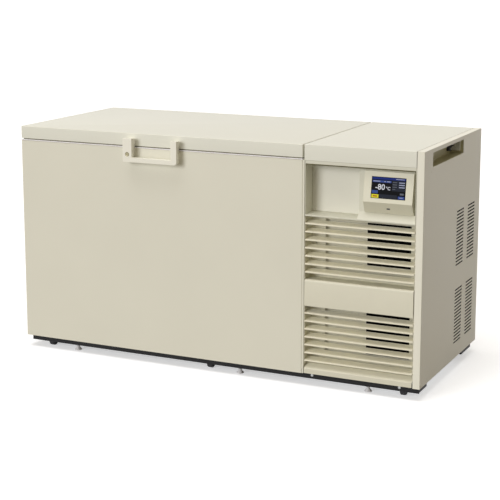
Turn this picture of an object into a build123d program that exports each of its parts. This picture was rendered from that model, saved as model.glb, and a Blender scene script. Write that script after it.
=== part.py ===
from build123d import *
from math import atan2, cos, degrees, pi
import os

# A chest ultra low temperature freezer. Millimetres, Z up, standing on Z = 0.
# X runs from the left end to the right one, Y from the front to the back.

# Overall
CASE_WIDTH = 2000.0
CASE_DEPTH = 846.0
CASE_HEIGHT = 1024.0
CASE_LIFT = 55.0
SHEET = 1.5
SEAT = 0.3
SMALL_SIDES = 12
ROUND_SIDES = 20
RUNNING_GAP = 0.5

# Chest and its walls
CHEST_WIDTH = 1452.0
CHEST_WALL = 72.0
LEDGE = 10.0
THROAT_DEPTH = 110.0
THROAT_SKIN = 3.0
THROAT_TOP = 4.0
LINER_SHEET = 1.2
FLOOR_FOAM = 95.0
CASE_CORNER = 4.0

# Lid
LID_HEIGHT = 58.0
SEAM_GAP = 10.0
LID_EDGE = 3.0
LID_PAN = 3.0
PLUG_DEPTH = 34.0
PLUG_GAP = 9.0
PLUG_TAPER = 6.0
GASKET_INSET = 5.0
GASKET_WIDTH = 24.0

# Inner lids
INNER_LID_THICK = 30.0
INNER_LID_GAP = 4.0
INNER_LID_LIP = 7.0
GRIP_LENGTH = 120.0
GRIP_WIDTH = 34.0
GRIP_DEPTH = 14.0

# Lid hinges
HINGE_PLACES = (300.0, 1152.0)
HINGE_OFFSET = 17.0
HINGE_RISE = 5.0
HINGE_WIDTH = 150.0
HINGE_LEAF = 4.0
HINGE_KNUCKLE = 11.0
HINGE_PIN = 5.0
HINGE_PLAY = 0.05
HINGE_DROP = 150.0

# Latch handle on the lid front
HANDLE_LEFT = 580.0
HANDLE_RIGHT = 856.0
HANDLE_REACH = 42.0
ARM_THICK = 14.0
LEFT_ARM = 46.0
RIGHT_ARM = 29.0
BAR_HEIGHT = 28.0
BAR_DEPTH = 22.0
BAR_BOTTOM = 889.0
ARM_TOP = 1003.0
HANDLE_CORNER = 9.0
PIVOT_BACK = 18.0
PIVOT_HEIGHT = 990.0
PIVOT_PIN = 4.0
PIVOT_PLAY = 0.05
CHEEK = 6.0
CHEEK_RADIUS = 12.5
BRACKET_NOSE = 9.5
LEFT_BRACKET_BOTTOM = 919.0
RIGHT_BRACKET_BOTTOM = 949.0
BODY_CLEARANCE = 0.6
LOCK_HEIGHT = 931.5
LOCK_RADIUS = 10.5
LOCK_PLAY = 0.1
LOCK_HEAD = 1.5
KEY_SLOT = (9.0, 2.0, 4.0)
LOCK_TONGUE = (5.0, 22.0, 8.0)
LOCK_POCKET = (34.0, 11.0)

# Base
RAIL_DROP = 16.0
RAIL_RISE = 20.0
RAIL_WALL = 3.0
RAIL_LEFT = 32.0
RAIL_FROM_FRONT = 3.0
FRONT_RAIL_WIDTH = 101.0
REAR_RAIL_FRONT = 625.0
REAR_RAIL_WIDTH = 143.0
CROSS_PLACES = (540.0, 1040.0, 1490.0)
CROSS_WIDTH = 44.0
SILL_WIDTH = 30.0

# Casters and levelling feet
CASTER_PLACES = (110.0, 972.0, 1909.0)
CASTER_PLATE = 64.0
CASTER_PLATE_THICK = 3.0
KINGPIN = 5.0
KINGPIN_PLAY = 0.05
WHEEL_RADIUS = 25.0
WHEEL_WIDTH = 24.0
WHEEL_BORE = 4.0
WHEEL_PLAY = 0.05
WHEEL_GAP = 2.0
YOKE_WALL = 3.0
YOKE_FOOT = 9.0
YOKE_SHOULDER = 21.0
FORK_TRAIL = 12.0
FORK_DISC = 20.0
FORK_DISC_THICK = 4.0
FOOT_PLACES = (263.0, 1130.0, 1751.0)
FOOT_FROM_FRONT = 45.0
FOOT_RADIUS = 17.0
FOOT_BELL = 17.0
FOOT_RIM = 3.0
FOOT_NECK = 6.0
FOOT_STEM = 5.0
FOOT_NUT = 10.0
FOOT_NUT_WIDTH = 18.0
FOOT_PLAY = 0.05

# Machine compartment
POST_WIDTH = 9.0
POST_DEPTH = 25.0
SIDE_FLANGE = 32.0
FLANGE_RETURN = 18.0
DECK_RETURN = 8.0
PANEL_GAP = 2.0

# Control panel
PANEL_TOP = 952.0
PANEL_BOTTOM = 711.0
PANEL_WALL = 3.0
RECESS_TOP = 941.0
SILL_FRONT = 717.0
SILL_BACK = 746.0
BAY_SILL_BACK = 722.0
RECESS_DEPTH = 28.0
BAY_DEPTH = 80.0
BAY_RIGHT = 1703.0
BLANK_THICK = 2.0
BLANK_MARGIN = 2.0
BLANK_SCREW_INSET = 14.0
BLANK_SCREW_RADIUS = 4.0
BLANK_SCREW_HEIGHT = 1.5
BOSS_RADIUS = 7.0
BAY_BOSSES = ((1500.0, 745.0), (1500.0, 920.0))
RECESS_BOSSES = ((1945.0, 738.0), (1945.0, 928.0))

# Display housing
DISPLAY_LEFT = 1730.0
DISPLAY_RIGHT = 1949.5
DISPLAY_TOP = 927.0
DISPLAY_NOSE = 796.0
DISPLAY_CHIN = 748.0
DISPLAY_TILT = 22.0
SCREEN_WIDTH = 153.0
SCREEN_HEIGHT = 92.0
SCREEN_THICK = 1.2
SCREEN_UP_SLOPE = 64.0
PORT_SIZE = (15.0, 10.0, 7.0)
PORT_DOWN_CHIN = 0.56

# Front grille
LOUVRE_PITCH = 36.0
LOUVRES = 7
UPPER_LOUVRE = 459.0
LOWER_LOUVRE = 58.0
BAND_TOP = 430.0
BAND_BOTTOM = 310.0
GRILLE_BOTTOM = 2.0
FOOT_BAND_TOP = 24.5
FOOT_BAND_BACK = 46.0
FOOT_BAND_DEPTH = 30.0
LOUVRE_DEPTH = 60.0
LOUVRE_WALL = 2.5
LOUVRE_LIP = 5.0
LOUVRE_UPSTAND = 16.0
LOUVRE_RISE = 5.0
GRILLE_DEPTH = 76.0
BAND_CORNER = 10.0
GRILLE_WALL = 2.5
GRILLE_RIGHT_SETBACK = 16.0
GRILLE_WINDOW = (1533.0, 1925.0)
STUD_RADIUS = 4.0
STUD_PLAY = 0.2
STUD_REACH = 22.0
STUD_PLACES = ((1490.0, 70.0), (1945.0, 70.0), (1490.0, 580.0), (1945.0, 580.0))

# Behind the grille
BULKHEAD_BACK = 92.0
CONDENSER_LEFT = 1722.0
CONDENSER_RIGHT = 1926.0
CONDENSER_BOTTOMS = (100.0, 500.0)
CONDENSER_HEIGHT = 186.0
CONDENSER_DEPTH = 44.0
CONDENSER_FLANGE = 12.0
FIN_PITCH = 15.0
FIN_THICK = 3.0
FILTER_THICK = 6.0
FILTER_FRAME = 8.0
FILTER_BARS = 5
SHROUD_DEPTH = 34.0
SHROUD_WALL = 2.0
FAN_RADIUS = 82.0
FAN_TIP_GAP = 4.0
FAN_HUB = 24.0
FAN_BLADES = 5
FAN_BLADE_CHORD = 34.0
FAN_BLADE_THICK = 2.5
FAN_PITCH_ANGLE = 32.0
FAN_THICK = 22.0
MOTOR_RADIUS = 34.0
MOTOR_LENGTH = 62.0
MOTOR_SHAFT = 4.0
SHAFT_PLAY = 0.05
SHAFT_END = 4.0
MOTOR_ARM = 10.0

# Refrigeration and electrics
COMPRESSOR_RADIUS = 88.0
COMPRESSOR_HEIGHT = 250.0
COMPRESSOR_X = 1590.0
COMPRESSORS_FROM_FRONT = (330.0, 610.0)
COMPRESSOR_DOME = 36.0
COMPRESSOR_DOME_LEAN = 40.0
COMPRESSOR_FOOT = 18.0
COMPRESSOR_FOOT_WIDTH = 26.0
COMPRESSOR_BASE_THICK = 4.0
COMPRESSOR_BASE = 210.0
EXCHANGER = (180.0, 420.0, 420.0)
EXCHANGER_FROM_FRONT = 220.0
EXCHANGER_BOTTOM = 430.0
ELECTRICAL_BOX = (230.0, 300.0, 380.0)
ELECTRICAL_BOTTOM = 420.0
ELECTRICAL_SIDE_GAP = 24.0

# Side panel
RECESS_FRONT = 113.0
RECESS_REAR = 561.0
RECESS_BOTTOM = 945.0
RECESS_CEILING = 1007.0
TRAY_DEPTH = 58.0
VENT_COLUMNS = (485.0, 657.0)
VENT_LENGTH = 109.0
VENT_SLOTS = 17
VENT_PITCH = 15.4
VENT_SLOT = 5.5
VENT_BOTTOMS = (77.0, 441.0)
BREAKER = (15.0, 24.0, 42.0)
BREAKER_FRONT = 494.0
BREAKER_BOTTOM = 960.0
TOGGLE_WIDTH = 9.0
TOGGLE_RADIUS = 7.0
TOGGLE_PIN = 2.0
TOGGLE_PLAY = 0.05
TOGGLE_LEVER = 9.0
TOGGLE_THICK = 5.0
TOGGLE_TILT = -15.0
TERMINALS = (44.0, 12.0, 50.0)
TERMINAL_WAYS = 4
TERMINAL_GROOVE = 5.0

# Rear
SPACER_RADIUS = 22.0
SPACER_PLACES = (90.0, 1362.0, 1560.0, 1900.0)
SPACER_HEIGHT = 860.0
SPACER_TIP = 6.0
SPACER_LEAN = 40.0
REAR_VENT_ROWS = 9
REAR_VENT_PITCH = 34.0
REAR_VENT_SLOT = 10.0
REAR_VENT_LENGTH = 180.0
REAR_VENT_LEFTS = (1510.0, 1770.0)
REAR_VENT_BOTTOM = 120.0
GLAND_X = 1935.0
GLAND_HEIGHT = 560.0
GLAND_RADIUS = 13.0
GLAND_LENGTH = 24.0
GLAND_BORE = 6.0
GLAND_NUT_RADIUS = 17.0
GLAND_NUT = 7.0

# Planes and levels that follow from the sizes above
LEFT = -CASE_WIDTH / 2
RIGHT = CASE_WIDTH / 2
FRONT = -CASE_DEPTH / 2
BACK = CASE_DEPTH / 2
TOP = CASE_LIFT + CASE_HEIGHT
LID_BOTTOM = TOP - LID_HEIGHT
BODY_TOP = LID_BOTTOM - SEAM_GAP
BASE_TOP = CASE_LIFT + RAIL_RISE
RAIL_BOTTOM = CASE_LIFT - RAIL_DROP
CHEST_RIGHT = LEFT + CHEST_WIDTH
LEDGE_LEVEL = BODY_TOP - THROAT_DEPTH
LINER_BOTTOM = BASE_TOP + SHEET + FLOOR_FOAM
POST_RIGHT = CHEST_RIGHT + POST_WIDTH
FASCIA_LEFT = POST_RIGHT + PANEL_GAP
FLANGE_LEFT = RIGHT - SIDE_FLANGE
FASCIA_RIGHT = FLANGE_LEFT - PANEL_GAP
HINGE_AXIS = (BACK + HINGE_OFFSET, BODY_TOP + HINGE_RISE)
PIVOT_AXIS = (FRONT - PIVOT_BACK, CASE_LIFT + PIVOT_HEIGHT)
REAR_STANDOFF = HANDLE_REACH + LOCK_HEAD
FRONT_RAIL = (FRONT + RAIL_FROM_FRONT, FRONT + RAIL_FROM_FRONT + FRONT_RAIL_WIDTH)
REAR_RAIL = (FRONT + REAR_RAIL_FRONT, FRONT + REAR_RAIL_FRONT + REAR_RAIL_WIDTH)
CASTER_ROWS = {"front": sum(FRONT_RAIL) / 2, "rear": sum(REAR_RAIL) / 2}
SIDES = ("left", "middle", "right")


def at(distance):
    """The X of a distance from the left end."""
    return LEFT + distance


def deep(distance):
    """The Y of a distance behind the front plane."""
    return FRONT + distance


def up(height):
    """The Z of a height above the lower edge of the painted case."""
    return CASE_LIFT + height


def block(x, y, z):
    """A box between two values along each axis."""
    corner = Pos(x[0], y[0], z[0])
    return corner * Box(x[1] - x[0], y[1] - y[0], z[1] - z[0], align=(Align.MIN,) * 3)


def grown(span, amount):
    """A span that reaches further at both ends, or less far if the amount is negative."""
    return (span[0] - amount, span[1] + amount)


def middle(span):
    return (span[0] + span[1]) / 2


def around(centre, width):
    """The span of a width about its centre."""
    return (centre - width / 2, centre + width / 2)


def rod_x(x, y, z, radius):
    """A round bar along X."""
    return Pos(x[0], y, z) * Rot(0, 90, 0) * Cylinder(
        radius, x[1] - x[0], align=(Align.CENTER, Align.CENTER, Align.MIN))


def rod_y(x, y, z, radius):
    """A round bar along Y."""
    return Pos(x, y[0], z) * Rot(-90, 0, 0) * Cylinder(
        radius, y[1] - y[0], align=(Align.CENTER, Align.CENTER, Align.MIN))


def rod_z(x, y, z, radius):
    """A round bar along Z."""
    return Pos(x, y, z[0]) * Cylinder(
        radius, z[1] - z[0], align=(Align.CENTER, Align.CENTER, Align.MIN))


def many_sided(radius, height, sides=ROUND_SIDES):
    """A nearly round bar along Z from the origin, whose corners lie on the radius."""
    return extrude(RegularPolygon(radius, sides), amount=height)


def bar_x(x, y, z, radius):
    """A nearly round bar along X, whose corners lie on the radius."""
    return Pos(x[0], y, z) * Rot(0, 90, 0) * many_sided(radius, x[1] - x[0])


def bar_y(x, y, z, radius):
    """A nearly round bar along Y, whose corners lie on the radius."""
    return Pos(x, y[0], z) * Rot(-90, 0, 0) * many_sided(radius, y[1] - y[0])


def pin_x(x, y, z, radius):
    """A twelve-sided pin along X, whose corners lie on the radius."""
    return Pos(x[0], y, z) * Rot(0, 90, 0) * many_sided(radius, x[1] - x[0], SMALL_SIDES)


def pin_z(x, y, z, radius):
    """A twelve-sided pin along Z, whose corners lie on the radius."""
    return Pos(x, y, z[0]) * many_sided(radius, z[1] - z[0], SMALL_SIDES)


def pin_y(x, y, z, radius):
    """A twelve-sided pin along Y, whose corners lie on the radius."""
    return Pos(x, y[0], z) * Rot(-90, 0, 0) * many_sided(radius, y[1] - y[0], SMALL_SIDES)


def clear_of_corners(radius):
    """The corner radius of a twelve-sided hole whose flats lie on a radius."""
    return radius / cos(pi / SMALL_SIDES)


def drawn_along_x(x, outline):
    """A side outline of (Y, Z) points, drawn out from one X to the other."""
    face = Plane.YZ.offset(x[0]) * make_face(Polyline(*outline, close=True))
    return extrude(face, amount=x[1] - x[0], dir=(1, 0, 0))


def ring(outer_x, outer_y, width, z):
    """A flat rectangular ring of one width."""
    outside = block(outer_x, outer_y, z)
    return outside - block(grown(outer_x, -width), grown(outer_y, -width), grown(z, 1))


def upright_edges(solid):
    return solid.edges().filter_by(Axis.Z)


# Plan spans of the chest, from the skin inwards
CHEST_X = (LEFT, CHEST_RIGHT)
CHEST_Y = (FRONT, BACK)
FOAM_X = grown(CHEST_X, -SHEET)
FOAM_Y = grown(CHEST_Y, -SHEET)
MOUTH_X = grown(CHEST_X, -CHEST_WALL)
MOUTH_Y = grown(CHEST_Y, -CHEST_WALL)
THROAT_X = grown(MOUTH_X, THROAT_SKIN)
THROAT_Y = grown(MOUTH_Y, THROAT_SKIN)
CHAMBER_X = grown(MOUTH_X, -LEDGE)
CHAMBER_Y = grown(MOUTH_Y, -LEDGE)
LINER_X = grown(CHAMBER_X, LINER_SHEET)
LINER_Y = grown(CHAMBER_Y, LINER_SHEET)


def outer_case():
    """The folded outer skin of the chest, with a skirt below its floor on three sides."""
    skin = block(CHEST_X, CHEST_Y, (CASE_LIFT, BODY_TOP))
    skin = fillet(upright_edges(skin), CASE_CORNER)
    inside = block(FOAM_X, FOAM_Y, (BASE_TOP + SHEET, BODY_TOP + 1))
    under = block((FOAM_X[0], CHEST_X[1] + 1), FOAM_Y, (CASE_LIFT - 1, BASE_TOP))
    return skin - inside - under


def wall_boards(outer_x, outer_y, inner_x, inner_y, z):
    """Four insulation boards round a rectangular space: front, back, left and right."""
    between = grown(inner_y, -SEAT)
    return [
        block(outer_x, (outer_y[0], inner_y[0] - SEAT), z),
        block(outer_x, (inner_y[1] + SEAT, outer_y[1]), z),
        block((outer_x[0], inner_x[0]), grown(between, SEAT), z),
        block((inner_x[1], outer_x[1]), grown(between, SEAT), z),
    ]


def insulation():
    """Boards in the chest's walls, throat and floor."""
    floor = block(FOAM_X, FOAM_Y, (BASE_TOP + SHEET, LINER_BOTTOM - SEAT))
    wall_z = (LINER_BOTTOM, LEDGE_LEVEL - LINER_SHEET - SEAT)
    throat_z = (LEDGE_LEVEL - LINER_SHEET, BODY_TOP - THROAT_TOP)
    walls = wall_boards(FOAM_X, FOAM_Y, LINER_X, LINER_Y, wall_z)
    throat = wall_boards(FOAM_X, FOAM_Y, THROAT_X, THROAT_Y, throat_z)
    return [floor] + walls + throat


def inner_liner():
    """The storage chamber, a welded box whose rim turns out to make the inner lids' ledge."""
    shell = block(LINER_X, LINER_Y, (LINER_BOTTOM, LEDGE_LEVEL))
    rim = block(MOUTH_X, MOUTH_Y, (LEDGE_LEVEL - LINER_SHEET, LEDGE_LEVEL))
    room = block(CHAMBER_X, CHAMBER_Y, (LINER_BOTTOM + LINER_SHEET, LEDGE_LEVEL + 1))
    return shell + rim - room


def throat_frame():
    """The breaker strip: over the wall's top and down to the ledge."""
    top = ring(FOAM_X, FOAM_Y, CHEST_WALL - SHEET, (BODY_TOP - THROAT_TOP, BODY_TOP))
    leg = ring(THROAT_X, THROAT_Y, THROAT_SKIN, (LEDGE_LEVEL, BODY_TOP - THROAT_TOP))
    return top + leg


def lid_shell():
    """The painted pan of the lid."""
    pan = block(CHEST_X, CHEST_Y, (LID_BOTTOM, TOP))
    pan = fillet(upright_edges(pan), CASE_CORNER)
    pan = fillet(pan.faces().sort_by(Axis.Z)[-1].edges(), LID_EDGE)
    return pan - block(FOAM_X, FOAM_Y, (LID_BOTTOM - 1, TOP - SHEET))


def plug(margin, bottom):
    """The tapered block of the lid that goes down into the mouth."""
    x = grown(MOUTH_X, -PLUG_GAP - margin)
    y = grown(MOUTH_Y, -PLUG_GAP - margin)
    face = Pos(middle(x), middle(y), LID_BOTTOM) * Rectangle(x[1] - x[0], y[1] - y[0])
    return extrude(face, amount=LID_BOTTOM - bottom, dir=(0, 0, -1), taper=PLUG_TAPER)


def lid_pan():
    """The inner pan of the lid, with its hollow plug."""
    plate = block(FOAM_X, FOAM_Y, (LID_BOTTOM, LID_BOTTOM + LID_PAN))
    pan = plate + plug(0, LID_BOTTOM - PLUG_DEPTH)
    room = plug(LID_PAN, LID_BOTTOM - PLUG_DEPTH + LID_PAN)
    hole_x = grown(MOUTH_X, -PLUG_GAP - LID_PAN)
    hole_y = grown(MOUTH_Y, -PLUG_GAP - LID_PAN)
    hole = block(hole_x, hole_y, (LID_BOTTOM, LID_BOTTOM + LID_PAN + 1))
    return pan - room - hole


def lid_foam():
    """The foam between the lid's shell and its pan: a slab and the core of the plug."""
    slab = block(FOAM_X, FOAM_Y, (LID_BOTTOM + LID_PAN, TOP - SHEET))
    core = plug(LID_PAN + SEAT, LID_BOTTOM - PLUG_DEPTH + LID_PAN + SEAT)
    core_x = grown(MOUTH_X, -PLUG_GAP - LID_PAN - SEAT)
    core_y = grown(MOUTH_Y, -PLUG_GAP - LID_PAN - SEAT)
    neck = block(core_x, core_y, (LID_BOTTOM, LID_BOTTOM + LID_PAN))
    return [slab, neck + core]


def lid_gasket():
    """The pale seal between the lid and the body."""
    x = grown(CHEST_X, -GASKET_INSET)
    y = grown(CHEST_Y, -GASKET_INSET)
    return ring(x, y, GASKET_WIDTH, (BODY_TOP + SEAT, LID_BOTTOM))


def inner_lid(x):
    """One insulating inner lid with a grip pocket in its top."""
    y = grown(MOUTH_Y, -INNER_LID_GAP)
    z = (LEDGE_LEVEL + SEAT, LEDGE_LEVEL + SEAT + INNER_LID_THICK)
    board = block(x, y, z)
    board = fillet(upright_edges(board), INNER_LID_LIP)
    grip_x = around(middle(x), GRIP_LENGTH)
    grip_y = around(middle(y), GRIP_WIDTH)
    return board - block(grip_x, grip_y, (z[1] - GRIP_DEPTH, z[1] + 1))


def inner_lids():
    """The left and right inner lids, which meet at the middle of the mouth."""
    inside = grown(MOUTH_X, -INNER_LID_GAP)
    seam = middle(MOUTH_X)
    left = inner_lid((inside[0], seam - INNER_LID_GAP / 2))
    right = inner_lid((seam + INNER_LID_GAP / 2, inside[1]))
    return left, right


def knuckle_spans(centre):
    """Along X: the left, middle and right knuckles of one hinge."""
    third = HINGE_WIDTH / 3
    left = (centre - HINGE_WIDTH / 2, centre - third / 2 - RUNNING_GAP)
    inner = around(centre, third)
    right = (centre + third / 2 + RUNNING_GAP, centre + HINGE_WIDTH / 2)
    return left, inner, right


def hinge_web(x, z):
    """The block that joins knuckles to a leaf."""
    y, axis_z = HINGE_AXIS
    return block(x, (BACK, y), z) + bar_x(x, y, axis_z, HINGE_KNUCKLE)


def cabinet_hinges():
    """Two hinge halves on the back of the case, each with its pin."""
    halves = []
    y, z = HINGE_AXIS
    for place in HINGE_PLACES:
        left, inner, right = knuckle_spans(at(place))
        leaf_z = (BODY_TOP - HINGE_DROP, z)
        leaf = block(around(at(place), HINGE_WIDTH), (BACK, BACK + HINGE_LEAF), leaf_z)
        arms = hinge_web(left, (z - HINGE_KNUCKLE, z)) + hinge_web(right, (z - HINGE_KNUCKLE, z))
        room = block(grown(inner, RUNNING_GAP), (BACK - 1, y + HINGE_OFFSET),
                     (z - HINGE_KNUCKLE - RUNNING_GAP, z + 1))
        pin = pin_x((left[0], right[1]), y, z, HINGE_PIN)
        halves.append(leaf + arms - room + pin)
    return halves


def lid_hinge_leaves():
    """Two hinge halves on the back of the lid, whose knuckles turn on the pins."""
    halves = []
    y, z = HINGE_AXIS
    for place in HINGE_PLACES:
        inner = knuckle_spans(at(place))[1]
        leaf_z = (LID_BOTTOM + RUNNING_GAP, TOP - LID_EDGE - CASE_CORNER)
        leaf = block(around(at(place), HINGE_WIDTH), (BACK, BACK + HINGE_LEAF), leaf_z)
        arm = block(inner, (BACK, y), (z, LID_BOTTOM + HINGE_KNUCKLE))
        knuckle = bar_x(inner, y, z, HINGE_KNUCKLE)
        bore = pin_x(grown(inner, 1), y, z, clear_of_corners(HINGE_PIN + HINGE_PLAY))
        halves.append(leaf + arm + knuckle - bore)
    return halves


LEFT_ARM_X = (at(HANDLE_LEFT), at(HANDLE_LEFT + LEFT_ARM))
RIGHT_ARM_X = (at(HANDLE_RIGHT - RIGHT_ARM), at(HANDLE_RIGHT))
HANDLE_FACE = FRONT - HANDLE_REACH


def bracket_x(arm_x):
    """A bracket fills an arm's width between its two cheeks."""
    return grown(arm_x, -CHEEK - SEAT)


def latch_bracket(arm_x, bottom):
    """One block on the lid's front that carries an arm of the handle on its pin."""
    x = bracket_x(arm_x)
    y, z = PIVOT_AXIS
    nose = y - BRACKET_NOSE
    upper = block(x, (y, FRONT), (LID_BOTTOM, z + BRACKET_NOSE)) + bar_x(x, y, z, BRACKET_NOSE)
    body = block(x, (nose, FRONT), (LID_BOTTOM, z))
    lower = block(x, (nose, FRONT - BODY_CLEARANCE), (up(bottom), LID_BOTTOM))
    pin = pin_x(arm_x, y, z, PIVOT_PIN)
    return upper + body + lower + pin


def latch_brackets():
    left = latch_bracket(LEFT_ARM_X, LEFT_BRACKET_BOTTOM)
    right = latch_bracket(RIGHT_ARM_X, RIGHT_BRACKET_BOTTOM)
    nose = PIVOT_AXIS[0] - BRACKET_NOSE
    pocket_z = around(up(LOCK_HEIGHT), LOCK_POCKET[0])
    pocket = block(grown(bracket_x(LEFT_ARM_X), 1), (nose - 1, nose + LOCK_POCKET[1]), pocket_z)
    return [left - pocket, right]


def handle_arm(x):
    """One arm with the two cheeks that hold its pin."""
    y, z = PIVOT_AXIS
    back = HANDLE_FACE + ARM_THICK
    plate = block(x, (HANDLE_FACE, back), (up(BAR_BOTTOM), up(ARM_TOP)))
    cheeks = block(x, (back, y), around(z, 2 * CHEEK_RADIUS)) + bar_x(x, y, z, CHEEK_RADIUS)
    slot = block(grown(bracket_x(x), SEAT), (back, FRONT), around(z, 3 * CHEEK_RADIUS))
    bore = pin_x(grown(x, 1), y, z, clear_of_corners(PIVOT_PIN + PIVOT_PLAY))
    return plate + cheeks - slot - bore


def latch_handle():
    """The U-shaped handle: a wide left arm with the lock, a bar and a narrow right arm."""
    bar = block((LEFT_ARM_X[0], RIGHT_ARM_X[1]), (HANDLE_FACE, HANDLE_FACE + BAR_DEPTH),
                (up(BAR_BOTTOM), up(BAR_BOTTOM) + BAR_HEIGHT))
    behind_left = block(bracket_x(LEFT_ARM_X), (PIVOT_AXIS[0] - BRACKET_NOSE - SEAT, FRONT),
                        (up(LEFT_BRACKET_BOTTOM) - SEAT, up(ARM_TOP)))
    frame = handle_arm(LEFT_ARM_X) + handle_arm(RIGHT_ARM_X) + (bar - behind_left)
    corners = frame.edges().filter_by(Axis.Y).group_by(Axis.Z)[0]
    frame = fillet(corners, HANDLE_CORNER)
    bore = rod_y(middle(LEFT_ARM_X), (HANDLE_FACE - 1, HANDLE_FACE + ARM_THICK + 1),
                 up(LOCK_HEIGHT), LOCK_RADIUS + LOCK_PLAY)
    return frame - bore


def key_cylinder():
    """The lock's barrel with its key slot in front and its tongue behind."""
    x = middle(LEFT_ARM_X)
    z = up(LOCK_HEIGHT)
    back = HANDLE_FACE + ARM_THICK
    barrel = rod_y(x, (HANDLE_FACE - LOCK_HEAD, back), z, LOCK_RADIUS)
    width, length, reach = LOCK_TONGUE
    tongue = block(around(x, width), (back, back + reach), around(z, length))
    slot = block(around(x, KEY_SLOT[1]), (HANDLE_FACE - LOCK_HEAD - 1, HANDLE_FACE + KEY_SLOT[2]),
                 around(z, KEY_SLOT[0]))
    return barrel + tongue - slot


def channel(x, y, z):
    """A rail with its web on top and a flange down each long side."""
    solid = block(x, y, z)
    return solid - block(grown(x, 1), grown(y, -RAIL_WALL), (z[0] - 1, z[1] - RAIL_WALL))


def base_frame():
    """Two rails with the weld nuts of the levelling feet, three cross members and two sills."""
    rail_x = (at(RAIL_LEFT), RIGHT - SHEET - SEAT)
    rail_z = (RAIL_BOTTOM, BASE_TOP)
    front = channel(rail_x, FRONT_RAIL, rail_z)
    nut_z = (BASE_TOP - RAIL_WALL - FOOT_NUT, BASE_TOP - RAIL_WALL)
    for place in FOOT_PLACES:
        nut = Pos(at(place), deep(FOOT_FROM_FRONT), nut_z[0]) * extrude(
            RegularPolygon(FOOT_NUT_WIDTH / 2, 6), amount=FOOT_NUT)
        bore = pin_z(at(place), deep(FOOT_FROM_FRONT), (nut_z[0] - 1, BASE_TOP + 1),
                     clear_of_corners(FOOT_STEM + FOOT_PLAY))
        front = front + nut - bore
    members = [front, channel(rail_x, REAR_RAIL, rail_z)]
    member_z = (CASE_LIFT, BASE_TOP)
    for place in CROSS_PLACES:
        x = around(at(place), CROSS_WIDTH)
        members.append(block(x, (FRONT_RAIL[1], REAR_RAIL[0]), member_z))
    inside_y = grown(CHEST_Y, -SHEET - SEAT)
    members.append(block((FOAM_X[0] + SEAT, at(RAIL_LEFT)), inside_y, member_z))
    members.append(block((at(RAIL_LEFT), CHEST_RIGHT), (inside_y[1] - SILL_WIDTH, inside_y[1]),
                         member_z))
    return members


def machine_base_plate():
    """The floor of the machine compartment, lying on the rails."""
    return block((CHEST_RIGHT + SEAT, RIGHT - SHEET - SEAT),
                 (FRONT_RAIL[0], BACK - SHEET - SEAT), (BASE_TOP, BASE_TOP + SHEET))


def caster_plates():
    """The plates under the rails' webs, each with the hole of its kingpin."""
    z = (BASE_TOP - RAIL_WALL - CASTER_PLATE_THICK, BASE_TOP - RAIL_WALL)
    plates = []
    for y in CASTER_ROWS.values():
        for place in CASTER_PLACES:
            plate = block(around(at(place), CASTER_PLATE), around(y, CASTER_PLATE), z)
            hole = pin_z(at(place), y, grown(z, 1), clear_of_corners(KINGPIN + KINGPIN_PLAY))
            plates.append(plate - hole)
    return plates


PLATE_BOTTOM = BASE_TOP - RAIL_WALL - CASTER_PLATE_THICK


def caster_fork(place, y):
    """The swivelling part of a caster: kingpin, disc and a yoke that holds the axle."""
    x = at(place)
    disc_z = (PLATE_BOTTOM - RUNNING_GAP - FORK_DISC_THICK, PLATE_BOTTOM - RUNNING_GAP)
    disc = Pos(x, y, disc_z[0]) * many_sided(FORK_DISC, FORK_DISC_THICK)
    kingpin = pin_z(x, y, (disc_z[1], PLATE_BOTTOM + CASTER_PLATE_THICK - SEAT), KINGPIN)
    axle_y = y + FORK_TRAIL
    foot_z = WHEEL_RADIUS - YOKE_FOOT
    inside = around(x, WHEEL_WIDTH + 2 * WHEEL_GAP)
    outside = grown(inside, YOKE_WALL)
    outline = [
        (y - YOKE_SHOULDER, disc_z[0]), (axle_y - YOKE_FOOT, foot_z),
        (axle_y + YOKE_FOOT, foot_z), (y + YOKE_SHOULDER, disc_z[0]),
    ]
    yoke = drawn_along_x(outside, outline)
    crown = disc_z[0] - YOKE_WALL
    yoke -= block(inside, grown(around(axle_y, 4 * YOKE_SHOULDER), 1), (foot_z - 1, crown))
    axle = Rot(0, 90, 0) * many_sided(WHEEL_BORE, outside[1] - outside[0], SMALL_SIDES)
    return yoke + disc + kingpin + Pos(outside[0], axle_y, WHEEL_RADIUS) * axle


def caster_wheels(place, y):
    """The wheel of a caster, which turns on the yoke's axle."""
    span = around(at(place), WHEEL_WIDTH)
    axle_y = y + FORK_TRAIL
    wheel = Rot(0, 90, 0) * many_sided(WHEEL_RADIUS, WHEEL_WIDTH)
    bore = rod_x(grown(span, 1), axle_y, WHEEL_RADIUS, WHEEL_BORE + WHEEL_PLAY)
    return Pos(span[0], axle_y, WHEEL_RADIUS) * wheel - bore


def levelling_foot(place):
    """A bell-shaped pad on its threaded stem."""
    rim = many_sided(FOOT_RADIUS, FOOT_RIM)
    rim_top = rim.faces().sort_by(Axis.Z)[-1]
    bell_height = FOOT_BELL - FOOT_RIM
    lean = degrees(atan2(FOOT_RADIUS - FOOT_NECK, bell_height))
    bell = extrude(rim_top, amount=bell_height, taper=lean)
    stem = many_sided(FOOT_STEM, BASE_TOP - SEAT, SMALL_SIDES)
    return Pos(at(place), deep(FOOT_FROM_FRONT), 0) * (rim + bell + stem)


def front_post():
    """The narrow upright between the chest and the machine compartment."""
    x = (CHEST_RIGHT + SEAT, POST_RIGHT)
    post = block(x, (FRONT, deep(POST_DEPTH)), (BASE_TOP + SHEET, BODY_TOP - SEAT))
    return post + block(x, (FRONT, FRONT_RAIL[0] - SEAT), (CASE_LIFT, BASE_TOP + SHEET))


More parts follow.
